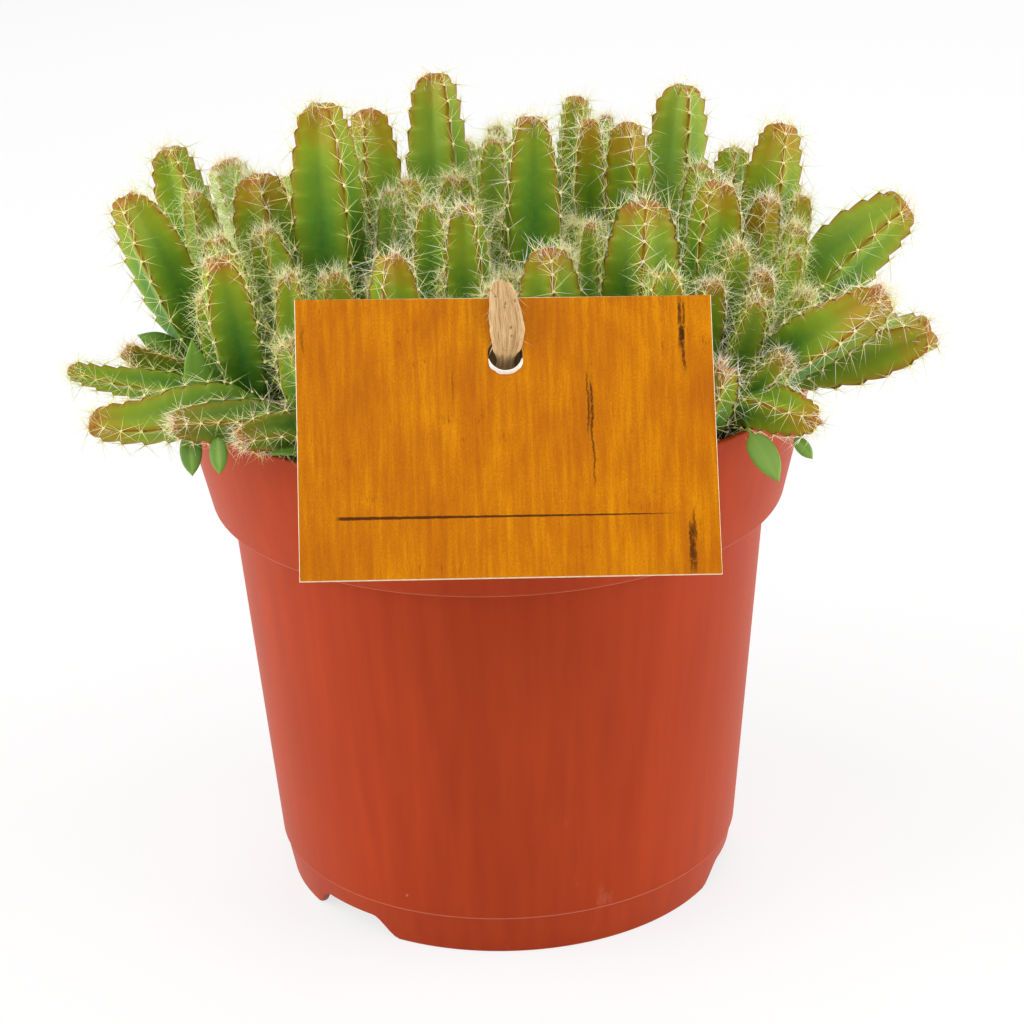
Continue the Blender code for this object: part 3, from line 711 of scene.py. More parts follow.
def split_long(outline, longest):
    """The same outline with extra points wherever two lie farther apart than the given distance."""
    steps = np.maximum(1, np.ceil(np.linalg.norm(np.diff(outline, axis=0), axis=1) / longest)).astype(int)
    shares = np.concatenate([[0], np.repeat(1 / steps, steps)]).cumsum()
    index = np.arange(len(outline))
    return np.stack([np.interp(shares, index, outline[:, k]) for k in range(2)], 1)


def notch_lift(angle):
    """How far the foot's edge is raised at an angle in degrees from the front: level in the middle of a
    notch, with an S-shaped slope at each end."""
    pitch = 360 / NOTCHES
    off = np.abs((angle - NOTCH_FIRST + pitch / 2) % pitch - pitch / 2)
    return NOTCH_HEIGHT * smoothstep(NOTCH_FLAT + NOTCH_SLOPE - off, 0, NOTCH_SLOPE)


def build_pot(settings, surface):
    """The turned wall: the outline carried round the Z axis. Below the step the outside and the foot's edge
    are squeezed up into the notches."""
    foot_inner = FOOT_RADIUS - WALL - 0.3
    outline = rounded_outline([
        (0.01, FLOOR_UNDERSIDE, 0),
        (foot_inner, FLOOR_UNDERSIDE, 0.3),
        (foot_inner + 0.2, 0.0, 0.4),
        (FOOT_RADIUS, 0.0, 0.5),
        (BODY_FOOT - 0.35, FOOT_HEIGHT - 0.25, 0.1),
        (BODY_FOOT, FOOT_HEIGHT, 0.15),
        (BODY_TOP_RADIUS, RIM_BAND_FOOT - 1.0, 0.5),
        (BODY_TOP_RADIUS + 0.7, RIM_BAND_FOOT - 0.5, 0.3),
        (RIM_BAND_RADIUS, RIM_BAND_FOOT - 0.3, 0.9),
        (RIM_RADIUS, POT_HEIGHT, 0.6),
        (RIM_RADIUS - WALL, POT_HEIGHT, 0.5),
        (inner_radius(RIM_BAND_FOOT + 2.2), RIM_BAND_FOOT + 2.2, 1.0),
        (inner_radius(RIM_BAND_FOOT - 2.0), RIM_BAND_FOOT - 2.0, 1.0),
        (inner_radius(FOOT_HEIGHT), FOOT_HEIGHT, 0.5),
        (inner_radius(FLOOR_TOP), FLOOR_TOP, 0.5),
        (0.01, FLOOR_TOP, 0),
    ])
    outline = split_long(outline, 9.0)[1:-1]
    size = settings.pot_segments
    angle = np.arange(size) * 360 / size
    radius, height = outline[:, :1], outline[:, 1:]
    outer = np.arange(len(outline))[:, None] < np.argmax(outline[:, 1] > FOOT_HEIGHT + 0.5)
    outside = outer & (radius > foot_inner + 0.05) & (height < FOOT_HEIGHT)
    lift = notch_lift(angle)[None, :] * np.where(outside, 1 - height / FOOT_HEIGHT, 0.0)
    cone = (BODY_FOOT - 0.35 - FOOT_RADIUS) / (FOOT_HEIGHT - 0.8)
    out = radius + cone * lift
    turn = np.radians(angle)
    points = np.stack([out * np.sin(turn), -out * np.cos(turn), height + lift], -1)
    hubs = [(0, 0, FLOOR_UNDERSIDE), (0, 0, FLOOR_TOP)]
    shape = Shape()
    shape.add(np.concatenate([points.reshape(-1, 3), hubs]), *closed_faces(len(outline), size))
    pot = shape.build("nursery_pot", [surface], sharp=POT_SHARPNESS)
    drill(pot)
    return settle(pot, "pot", "pot")


def drill(pot):
    """Cuts the drain holes through the floor with a Boolean, and keeps its result as the mesh."""
    turns = 2 * math.pi * (np.arange(DRAIN_HOLES) + 0.5) / DRAIN_HOLES
    size = 28
    ring = np.arange(size) * 2 * math.pi / size
    plug = Shape()
    for turn in turns:
        x = DRAIN_CIRCLE * math.sin(turn) + DRAIN_RADIUS * np.cos(ring)
        y = -DRAIN_CIRCLE * math.cos(turn) + DRAIN_RADIUS * np.sin(ring)
        levels = [np.stack([x, y, np.full(size, z)], 1) for z in (FLOOR_UNDERSIDE - 2, FLOOR_TOP + 2)]
        hubs = [(x.mean(), y.mean(), FLOOR_UNDERSIDE - 2), (x.mean(), y.mean(), FLOOR_TOP + 2)]
        plug.add(np.concatenate([*levels, hubs]), *closed_faces(2, size))
    cutter = plug.build("drain_plugs", [])
    cut = pot.modifiers.new("drain holes", "BOOLEAN")
    cut.object = cutter
    keep_result(pot)
    pot.data.set_sharp_from_angle(angle=math.radians(POT_SHARPNESS))
    bpy.data.objects.remove(cutter)


def keep_result(piece):
    """Replaces the piece's mesh by what its modifiers make of it."""
    graph = bpy.context.evaluated_depsgraph_get()
    made = bpy.data.meshes.new_from_object(piece.evaluated_get(graph), depsgraph=graph)
    piece.modifiers.clear()
    piece.data = made


def build_soil(settings, surface, grit):
    """The soil: a closed plug whose top is a disc of rings raised and lowered by ripples, with crumbs of peat
    and perlite lying on it."""
    size, rings = 120, 34
    turn = np.arange(size) * 2 * math.pi / size
    sides = np.array([(inner_radius(z) - 0.4, z) for z in (FLOOR_TOP + GAP, FOOT_HEIGHT, RIM_BAND_FOOT - 2.0,
                                                          RIM_BAND_FOOT + 2.2, SOIL_TOP - 1.5)])
    top = np.linspace(1, 0, rings + 1)[:-1] * (inner_radius(SOIL_TOP) - 0.5)
    radius = np.append(sides[:, 0], top)
    height = np.append(sides[:, 1], np.full(rings, SOIL_TOP))
    points = np.stack([radius[:, None] * np.sin(turn), -radius[:, None] * np.cos(turn),
                       np.broadcast_to(height[:, None], (len(radius), size))], -1)
    bumps = 0.7 * ripple(points, 0.35, 3) + 0.45 * ripple(points, 1.1, 5) + 0.3 * ripple(points, 2.6, 7)
    on_top = (np.arange(len(radius)) >= len(sides))[:, None]
    points[..., 2] += np.where(on_top, bumps + 0.4, 0)
    shape = Shape()
    hubs = [(0, 0, FLOOR_TOP + GAP), (0, 0, SOIL_TOP + 0.4)]
    shape.add(np.concatenate([points.reshape(-1, 3), hubs]), *closed_faces(len(radius), size))
    rng = np.random.default_rng(11)
    count = settings.crumbs
    out = np.sqrt(rng.uniform(0, 1, count)) * (inner_radius(SOIL_TOP) - 2)
    spin = rng.uniform(0, 2 * math.pi, count)
    places = np.stack([out * np.cos(spin), out * np.sin(spin), np.full(count, SOIL_TOP + 0.5)], 1)
    width = rng.uniform(0.4, 1.3, count)
    lean = unit(rng.normal(0, 0.5, (count, 3)) + np.array([0, 0, 1.0]))
    pale = rng.uniform(0, 1, count) < PERLITE_SHARE
    add_tufts(shape, places[~pale], lean[~pale], width[~pale], width[~pale] * 0.8, 0)
    add_tufts(shape, places[pale], lean[pale], width[pale] * 0.8, width[pale] * 0.8, 1)
    return settle(shape.build("soil_surface", [surface, grit], sharp=50), "soil", "potting_soil")


# --- Card and raffia -------------------------------------------------------------------------------------

CARD_WIDTH = 78.0
CARD_HEIGHT = 53.0
CARD_THICKNESS = 0.8
CARD_FOOT = (2.0, -75.9, 96.3)  # middle of the front face's lower edge
CARD_LEAN = 32.6
CARD_TIP = 2.8
CARD_TURN = 5.1
EDGE_WEAR = 0.12
HOLE_RADIUS = 3.3
HOLE_HEIGHT = 42.3
RAFFIA_WIDTH = 6.4
RAFFIA_THROUGH_HOLE = 5.2
RAFFIA_THICKNESS = 0.6


def card_place():
    """The card's own axes, in millimetres: X along its width, Z up the card, its front face towards -Y."""
    place = Matrix.Translation(CARD_FOOT)
    place = place @ Matrix.Rotation(math.radians(CARD_TURN), 4, "Z")
    place = place @ Matrix.Rotation(math.radians(-CARD_LEAN), 4, "X")
    return np.array(place @ Matrix.Rotation(math.radians(CARD_TIP), 4, "Y"))


def on_card(points):
    """Points given as (along the card, out of its front, up the card) in the row frame."""
    points = np.asarray(points, float)
    local = np.stack([points[..., 0], -points[..., 1], points[..., 2]], -1)
    place = card_place()
    return local @ place[:3, :3].T + place[:3, 3]


def add_card_uv(piece):
    """A UV map in the card's own axes: U along its width and V up it, both from 0 to 1."""
    mesh = piece.data
    place = card_place()
    points = np.empty(len(mesh.vertices) * 3, np.float32)
    mesh.vertices.foreach_get("co", points)
    local = (points.reshape(-1, 3) / MM - place[:3, 3]) @ place[:3, :3]
    corners = np.empty(len(mesh.loops), np.int32)
    mesh.loops.foreach_get("vertex_index", corners)
    flat = local[corners][:, [0, 2]] / [CARD_WIDTH, CARD_HEIGHT] + [0.5, 0.0]
    layer = mesh.uv_layers.new(name="card")
    layer.data.foreach_set("uv", flat.astype(np.float32).ravel())


def build_card(face, edge):
    """The card: from the hole's circle out to the rectangle's edge in the same direction, on the front, over
    a slightly worn edge, and back on the other side. Its corners bow a little."""
    corner_turns = [math.atan2(z - HOLE_HEIGHT, x) for x in (-CARD_WIDTH / 2, CARD_WIDTH / 2)
                    for z in (0, CARD_HEIGHT)]
    turn = np.sort(np.concatenate([np.linspace(-math.pi, math.pi, 180, endpoint=False), corner_turns]))
    turn = turn[np.append(True, np.diff(turn) > 1e-6)]
    cos, sin = np.cos(turn), np.sin(turn)
    with np.errstate(divide="ignore"):
        to_side = CARD_WIDTH / 2 / np.abs(cos)
        to_end = np.where(sin > 0, (CARD_HEIGHT - HOLE_HEIGHT) / np.abs(sin), HOLE_HEIGHT / np.abs(sin))
    edge_reach = np.minimum(to_side, to_end)
    share = np.linspace(0, 1, 12) ** 1.4
    reach = HOLE_RADIUS + share[:, None] * (edge_reach - HOLE_RADIUS)
    front = np.concatenate([reach[:-1], [edge_reach - EDGE_WEAR, edge_reach]])
    depth = np.append(np.zeros(len(front) - 1), -EDGE_WEAR)
    reach = np.concatenate([front, front[::-1]])
    depth = np.concatenate([depth, -CARD_THICKNESS - depth[::-1]])
    along, up = reach * cos, HOLE_HEIGHT + reach * sin
    bow = 0.25 * ((along / CARD_WIDTH * 2) ** 2) * (up / CARD_HEIGHT) ** 2
    points = on_card(np.stack([along, np.broadcast_to(depth[:, None], along.shape) + bow, up], -1))
    rows, size = points.shape[:2]
    quads = ring_faces(rows, size)
    closing = ring_faces(2, size)
    closing = np.where(closing >= size, closing - size, closing + (rows - 1) * size)
    quads = np.concatenate([quads, closing])
    slots = np.ones(len(quads), int)
    slots[: (len(front) - 2) * size] = 0
    shape = Shape()
    shape.add(points, quads, slot=slots)
    card = shape.build("card", [face, edge], sharp=30)
    add_card_uv(card)
    return settle(card, "card", "label_card")


def smooth_line(knots, steps):
    """A Catmull-Rom curve through the knots, with so many steps between each two."""
    padded = np.concatenate([[2 * knots[0] - knots[1]], knots, [2 * knots[-1] - knots[-2]]])
    a, b, c, d = (padded[k:len(padded) - 3 + k, None] for k in range(4))
    t = (np.arange(steps) / steps)[None, :, None]
    line = 0.5 * (2 * b + (c - a) * t + (2 * a - 5 * b + 4 * c - d) * t**2
                  + (3 * b - a - 3 * c + d) * t**3)
    return np.concatenate([line.reshape(-1, 3), knots[-1:]])


def raffia_route():
    """The strip's way, as in the frame: up behind the card, over its top edge, down, back through the hole
    and down to the soil. Behind the hole it is wide and dark, painted shade that fills the hole. Returns the
    points, the widths, how much the strip arches across, how far it is darkened as painted shade of the card
    and the hole, and the direction across it. Arching and shade go by the knots' numbers: 5 is over the top
    edge, and 9 is in the hole."""
    top = CARD_HEIGHT
    behind = -CARD_THICKNESS
    wide, through = RAFFIA_WIDTH, RAFFIA_THROUGH_HOLE
    route = (
        ((0.0, -43.0, SOIL_TOP + GAP), wide * 0.7),
        ((0.2, -43.4, SOIL_TOP + 9), wide * 0.8),
        # Wide and fully shaded behind the card: a dark sheet that stands in for the shade seen through the
        # hole.
        (on_card((0, behind - 5.0, top - 22)), wide * 1.3),
        (on_card((0, behind - 2.6, top - 8)), wide * 1.3),
        (on_card((0, behind - 1.4, top + 0.6)), wide * 0.8),
        (on_card((-0.3, 0.1, top + 2.4)), wide * 0.62),
        (on_card((-0.1, 1.5, top - 0.4)), wide * 0.82),
        (on_card((0.2, 1.7, top - 4)), wide),
        (on_card((0.45, 1.3, HOLE_HEIGHT + 3.8)), wide * 1.03),
        (on_card((0.3, 0.2, HOLE_HEIGHT + 0.6)), through),
        (on_card((0.1, behind - 0.6, HOLE_HEIGHT - 1.2)), through * 0.6),
        (on_card((0, behind - 3.2, HOLE_HEIGHT - 6)), wide * 0.8),
        ((0.6, -50.0, SOIL_TOP + 8), wide * 0.8),
        ((0.4, -47.5, SOIL_TOP + GAP), wide * 0.7),
    )
    knots = np.array([point for point, _ in route])
    line = smooth_line(knots, 14)
    place = np.linspace(0, len(route) - 1, len(line))
    width = np.interp(place, np.arange(len(route)), [w for _, w in route])
    arching = np.interp(place, (3.6, 5.0, 6.4), (1.0, 1.7, 1.0))
    # Painted shade: 1 behind the card and past the hole, 0 on the front.
    shade = np.interp(place, (3.6, 4.4, 9.3, 10.1), (1.0, 0.0, 0.0, 1.0))
    return line, width, arching, shade, card_place()[:3, 0]


def build_raffia(surface):
    """The raffia: a flat section carried along its way, thick with lengthwise cords. Across the strip the
    face rises and falls with a sum of cosines, and the whole strip arches a little."""
    line, width, arching, shade, across = raffia_route()
    along = np.gradient(line, axis=0)
    along -= (along @ across)[:, None] * across
    along[0], along[-1] = (0, 0, 1), (0, 0, -1)
    along = unit(along)
    out = np.cross(along, across)
    share = np.linspace(-1, 1, 22)
    cords = 0.13 * np.cos(share * 9.5) + 0.07 * np.cos(share * 23 + 1.2) + 0.05 * np.cos(share * 41 + 0.4)
    edge = np.sqrt(np.maximum(1 - share**4, 0.02))
    half = RAFFIA_THICKNESS / 2
    face = (half * 1.1 + cords) * edge
    arch = 0.5 * (1 - share**2) - 0.3
    sides = np.concatenate([-share, -share[::-1]])
    depth = np.concatenate([face + arch, (-half * edge + arch)[::-1]])
    run = np.linspace(0, 1, len(line))[:, None]
    wander = 0.05 * np.sin(run * 60 + sides * 5) + 0.04 * np.sin(run * 131 + sides * 11)
    edge_wave = 1 + 0.015 * np.sin(run * 75 + np.sign(sides) * 1.1) + 0.008 * np.sin(run * 190)
    points = (line[:, None, :] + across * (sides * width[:, None] / 2 * edge_wave)[..., None]
              + out[:, None, :] * (depth + wander + (arching[:, None] - 1) * 0.5 * (1 - sides**2))[..., None])
    rows, size = points.shape[:2]
    reached = np.append(0, np.linalg.norm(np.diff(line, axis=0), axis=1).cumsum())
    shape = Shape()
    shape.add(np.concatenate([points.reshape(-1, 3), line[[0, -1]]]), *closed_faces(rows, size),
              cord=np.append(np.tile(sides, rows), [0, 0]),
              run=np.append(np.repeat(reached, size), [0, reached[-1]]),
              shade=np.append(np.repeat(shade, size), [0, 1]))
    add_frays(shape)
    return settle(shape.build("raffia", [surface]), "raffia", "raffia_tie")


def add_frays(shape):
    """A few loose fibres that stand off the strip's edges and about the hole."""
    rng = np.random.default_rng(21)
    count = 16
    hand = np.where(np.arange(count) % 2 == 0, 1.0, -1.0)
    up = rng.uniform(HOLE_HEIGHT, CARD_HEIGHT + 1, count)
    start = on_card(np.stack([hand * rng.uniform(2.2, 3.0, count), np.full(count, 1.5), up], 1))
    across, inward, upward = card_place()[:3, :3].T
    aside = hand[:, None] * rng.uniform(0.15, 0.8, (count, 1))
    down = rng.uniform(0.5, 1, (count, 1))
    way = unit(across * aside - upward * down - inward * rng.uniform(0.0, 0.4, (count, 1)))
    before = shape.count
    add_spikes(shape, start, way, rng.uniform(1.2, 3.2, count), np.full(count, 0.09), np.zeros(count, int))
    for name, value in (("cord", 0.3), ("run", 5.0), ("shade", 0.0)):
        shape.values[name].append(np.full(shape.count - before, value))


def build_torn_edge(surface):
    """The hole's torn lower lip: a ragged crescent of white paper that curls out of the card, a section
    carried round the lower part of the hole."""
    steps = 64
    turn = np.radians(np.linspace(-163, -17, steps))
    fall = np.sin(np.linspace(0, math.pi, steps)) ** 0.5
    rng = np.random.default_rng(5)
    rag = np.convolve(rng.uniform(-0.22, 0.22, steps + 4), np.ones(5) / 5, "valid")
    inner = HOLE_RADIUS - 0.15
    outer = HOLE_RADIUS + fall * 0.75 + rag
    lift = 0.12 + 0.5 * fall
    sections = [(inner, np.full(steps, -0.25)), (inner + 0.1, lift * 0.6), (outer * 0.5 + inner * 0.5, lift),
                (outer, np.full(steps, 0.1)), (outer * 0.6 + inner * 0.4, lift * 0.3)]
    rings = [np.stack([reach * np.cos(turn), depth, HOLE_HEIGHT + reach * np.sin(turn)], 1)
             for reach, depth in sections]
    points = on_card(np.stack(rings, 1))
    hubs = points[[0, -1]].mean(1)
    shape = Shape()
    shape.add(np.concatenate([points.reshape(-1, 3), hubs]), *closed_faces(*points.shape[:2]))
    return settle(shape.build("torn_hole_edge", [surface], sharp=60), "card")


# --- Materials -------------------------------------------------------------------------------------------


def new_material(name, roughness=0.5):
    made = bpy.data.materials.new(name)
    made.use_nodes = True
    tree = made.node_tree
    shader = tree.nodes["Principled BSDF"]
    shader.inputs["Roughness"].default_value = roughness
    return made, tree, shader


def node(tree, kind, inputs=(), **settings):
    """A new shader node: its settings, and its inputs by name or number, each a value or another's output."""
    made = tree.nodes.new("ShaderNode" + kind)
    for key, value in settings.items():
        setattr(made, key, value)
    for key, value in dict(inputs).items():
        if isinstance(value, bpy.types.NodeSocket):
            tree.links.new(value, made.inputs[key])
        else:
            made.inputs[key].default_value = value
    return made


def place_of(tree, scale=(1, 1, 1)):
    """Object coordinates, stretched."""
    where = node(tree, "TexCoord").outputs["Object"]
    return node(tree, "Mapping", {"Vector": where, "Scale": scale}).outputs["Vector"]


def noise(tree, where, scale, detail=3.0, roughness=0.5, distortion=0.0):
    return node(tree, "TexNoise", {"Vector": where, "Scale": scale, "Detail": detail, "Roughness": roughness,
                                   "Distortion": distortion}).outputs["Fac"]


def value_of(tree, name):
    """A value that the mesh carries at its points."""
    return node(tree, "Attribute", attribute_name=name).outputs["Fac"]


def maths(tree, operation, a, b=0.0, clamp=False):
    return node(tree, "Math", {0: a, 1: b}, operation=operation, use_clamp=clamp).outputs[0]


def times(tree, a, b):
    return maths(tree, "MULTIPLY", a, b)


def plus(tree, a, b):
    return maths(tree, "ADD", a, b)


def minus(tree, a, b):
    return maths(tree, "SUBTRACT", a, b)


def window(tree, value, low, high):
    """0 at low and 1 at high, smooth between; low may be the larger."""
    return node(tree, "MapRange", {"Value": value, "From Min": low, "From Max": high},
                interpolation_type="SMOOTHSTEP").outputs["Result"]


def mix(tree, share, a, b):
    return node(tree, "Mix", {0: share, 6: a, 7: b}, data_type="RGBA").outputs[2]


def paint(tree, skin, share, strength, colour):
    """The skin with a colour laid over it, as densely as the share times the strength, from 0 to 1."""
    return mix(tree, maths(tree, "MULTIPLY", share, strength, clamp=True), skin, colour)


def ramp(tree, value, stops):
    """A colour ramp through (position, colour) stops."""
    made = node(tree, "ValToRGB", {"Fac": value})
    elements = made.color_ramp.elements
    while len(elements) < len(stops):
        elements.new(0.5)
    for element, (position, colour) in zip(elements, stops):
        element.position = position
        element.color = colour
    return made.outputs["Color"]


def bump(tree, shader, height, distance, strength=1.0):
    made = node(tree, "Bump", {"Height": height, "Distance": distance * MM, "Strength": strength})
    tree.links.new(made.outputs["Normal"], shader.inputs["Normal"])


def flesh_material(settings):
    """Skin of the stems: deep green at the root, through mid and yellow green to orange brown at the tip,
    deeper and bluer in the creases, partly the skin's own colour and partly painted shade, yellower and then
    orange brown towards the ridges, with a dark scar on the ridge below each areole."""
    made, tree, shader = new_material("cactus_skin", 0.42)
    flank, phase, rise = (value_of(tree, name) for name in ("flank", "phase", "rise"))
    pale, ruddy, tone = (value_of(tree, name) for name in ("pale", "ruddy", "tone"))
    where = place_of(tree)
    blotch = noise(tree, where, 110.0, 3.0)
    grain = noise(tree, where, 900.0, 2.0)
    uneven = times(tree, minus(tree, blotch, 0.5), 0.34)
    lean = times(tree, minus(tree, ruddy, 0.45), window(tree, rise, 0.3, 1.0))
    shift = plus(tree, times(tree, lean, 0.26), times(tree, tone, 0.05))
    up = plus(tree, plus(tree, rise, uneven), shift)
    skin = ramp(tree, up, ((0.04, settings.root_green), (0.34, settings.low_green),
                           (0.66, settings.mid_green), (0.88, settings.top_green),
                           (1.06, settings.tip_brown)))
    side = plus(tree, flank, uneven)
    # Darker blue green in the creases, lower on the stem: partly the skin's own colour, partly painted shade.
    deep = times(tree, window(tree, side, 0.45, 1.0), window(tree, up, 1.05, 0.55))
    skin = paint(tree, skin, deep, 0.5, settings.crease_shade_green)
    near = times(tree, window(tree, side, 0.55, 0.05), window(tree, up, 0.2, 0.7))
    skin = paint(tree, skin, near, 0.6, settings.ridge_green)
    skin = paint(tree, skin, pale, 0.6, settings.downy_green)
    # Below zero, pale darkens the skin towards the root green: painted shade, strongest on the darkest look.
    skin = paint(tree, skin, pale, -0.8, settings.root_green)
    warm = times(tree, window(tree, side, 0.36, 0.0), window(tree, up, 0.56, 1.0))
    skin = paint(tree, skin, warm, 0.8, settings.ridge_brown)
    edge = times(tree, window(tree, flank, 0.09, 0.02), window(tree, up, 0.35, 0.85))
    skin = paint(tree, skin, edge, 0.7, settings.ridge_brown)
    below = maths(tree, "FRACT", phase)
    narrow = minus(tree, 0.12, times(tree, below, 0.14))
    scar = times(tree, window(tree, flank, narrow, 0.01), window(tree, below, 0.62, 0.2))
    scar = times(tree, scar, window(tree, up, 0.1, 0.7))
    skin = paint(tree, skin, scar, 0.9, settings.scar_brown)
    crown = window(tree, plus(tree, rise, times(tree, uneven, 0.3)), 0.965, 1.0)
    skin = paint(tree, skin, crown, 0.75, settings.crown_brown)
    skin = paint(tree, skin, window(tree, grain, 0.35, 0.75), 0.14, settings.ridge_green)
    tree.links.new(skin, shader.inputs["Base Color"])
    shader.inputs["Specular IOR Level"].default_value = 0.16
    rough = node(tree, "MapRange", {"Value": blotch, "To Min": 0.36, "To Max": 0.54})
    tree.links.new(rough.outputs["Result"], shader.inputs["Roughness"])
    bump(tree, shader, plus(tree, times(tree, blotch, 0.6), grain), 0.12, 0.5)
    return made


def bristle_materials(settings):
    """One plain finish per kind of bristle, then the wool of the areoles and the brown folds of the crown.
    Each also glows a little in its own colour: painted light that lifts the bristles out of the shade they
    cast on each other.
    """
    colours = {"straw": settings.straw, "cream": settings.cream, "lime": settings.lime,
               "white": settings.white, "rose": settings.rose, "wool": settings.wool,
               "crown": settings.crown_wool}
    made = []
    for kind in BRISTLE_KINDS:
        surface, _, shader = new_material("bristle_" + kind, 0.5)
        shader.inputs["Base Color"].default_value = colours[kind]
        shader.inputs["Specular IOR Level"].default_value = 0.3
        # Painted light: a faint glow in the bristle's own colour, so that shaded bristles still look bright.
        shader.inputs["Emission Color"].default_value = colours[kind]
        shader.inputs["Emission Strength"].default_value = settings.bristle_painted_glow
        if kind in ("wool", "crown"):
            shader.inputs["Roughness"].default_value = 0.85
            shader.inputs["Specular IOR Level"].default_value = 0.1
        made.append(surface)
    return made


def leaf_material(settings):
    """Seed leaf: a glossy mid green, some leaves lighter than others, which on the seed leaf in a stem's
    shade is painted light, paler along the middle and at the tip, with fine mottling."""
    made, tree, shader = new_material("seed_leaf_skin", 0.36)
    flank, rise, tone = (value_of(tree, name) for name in ("flank", "rise", "tone"))
    blotch = noise(tree, place_of(tree), 240.0, 4.0)
    uneven = times(tree, minus(tree, blotch, 0.5), 0.6)
    side = plus(tree, flank, uneven)
    skin = ramp(tree, side, ((0.0, settings.leaf_vein), (0.3, settings.leaf_green),
                             (1.0, settings.leaf_edge)))
    # Lighter by the leaf's tone: on the second seed leaf, in the shade behind a stem, this is painted light.
    skin = paint(tree, skin, window(tree, tone, -0.4, 1.0), 0.85, settings.leaf_vein)
    skin = paint(tree, skin, window(tree, rise, 0.7, 1.0), 0.5, settings.leaf_vein)
    tree.links.new(skin, shader.inputs["Base Color"])
    shader.inputs["Specular IOR Level"].default_value = 0.2
    bump(tree, shader, blotch, 0.1, 0.6)
    return made


def pot_material(settings):
    """Moulded plastic: terracotta with faint upright streaks, a few pale dust specks, fine scuffs, a painted
    highlight line at the foot's step and another at the rim band's foot, where those edges catch light, and a
    dull satin sheen."""
    made, tree, shader = new_material("terracotta_plastic", 0.5)
    where = place_of(tree)
    streak = noise(tree, place_of(tree, (1, 1, 0.03)), 300.0, 3.0)
    cloud = noise(tree, where, 30.0, 2.0)
    tone = plus(tree, times(tree, streak, 0.7), times(tree, cloud, 0.3))
    skin = ramp(tree, tone, ((0.3, settings.pot_dark), (0.7, settings.pot_light)))
    cells = node(tree, "TexVoronoi", {"Vector": where, "Scale": 95.0, "Randomness": 1.0})
    chosen = node(tree, "SeparateColor", {"Color": cells.outputs["Color"]}).outputs["Red"]
    dust = times(tree, window(tree, cells.outputs["Distance"], 0.055, 0.02),
                 maths(tree, "GREATER_THAN", chosen, 0.9))
    skin = paint(tree, skin, dust, 0.55, settings.pot_dust_and_highlight)
    scuff = window(tree, noise(tree, place_of(tree, (1, 1, 0.35)), 60.0, 8.0, 0.75), 0.64, 0.74)
    skin = paint(tree, skin, scuff, 0.1, settings.pot_dust_and_highlight)
    height = node(tree, "SeparateXYZ", {"Vector": where}).outputs["Z"]
    # Painted highlights: pale lines in the dust colour where the foot's step and the rim band's foot catch
    # light.
    for level, strength in ((FOOT_HEIGHT - 0.1, 0.25), (RIM_BAND_FOOT - 0.1, 0.16)):
        line = band(tree, height, level * MM, 0.16 * MM, 0.14 * MM)
        skin = paint(tree, skin, line, strength, settings.pot_dust_and_highlight)
    tree.links.new(skin, shader.inputs["Base Color"])
    fine = noise(tree, where, 1400.0, 2.0)
    uneven = plus(tree, times(tree, fine, 0.5), times(tree, streak, 0.5))
    rough = node(tree, "MapRange", {"Value": uneven, "To Min": 0.36, "To Max": 0.56})
    tree.links.new(rough.outputs["Result"], shader.inputs["Roughness"])
    shader.inputs["Specular IOR Level"].default_value = 0.12
    bump(tree, shader, plus(tree, streak, times(tree, fine, 0.4)), 0.05, 0.5)
    return made


def soil_material(settings):
    """Peat: dark brown with lighter fibres and a rough, crumbly surface."""
    made, tree, shader = new_material("peat", 0.95)
    where = place_of(tree)
    crumb = noise(tree, where, 420.0, 8.0, 0.7)
    skin = ramp(tree, crumb, ((0.32, settings.soil_dark), (0.58, settings.soil_brown),
                              (0.78, settings.soil_fibre)))
    tree.links.new(skin, shader.inputs["Base Color"])
    shader.inputs["Specular IOR Level"].default_value = 0.15
    bump(tree, shader, crumb, 1.2, 1.0)
    return made


def grit_material(settings):
    made, tree, shader = new_material("perlite", 0.9)
    grain = noise(tree, place_of(tree), 900.0, 3.0)
    skin = ramp(tree, grain, ((0.3, settings.soil_fibre), (0.6, settings.perlite)))
    tree.links.new(skin, shader.inputs["Base Color"])
    return made


def band(tree, value, centre, half, soft):
    """1 where the value is within half of the centre, and 0 past the soft edge."""
    return window(tree, maths(tree, "ABSOLUTE", minus(tree, value, centre)), half + soft, half)


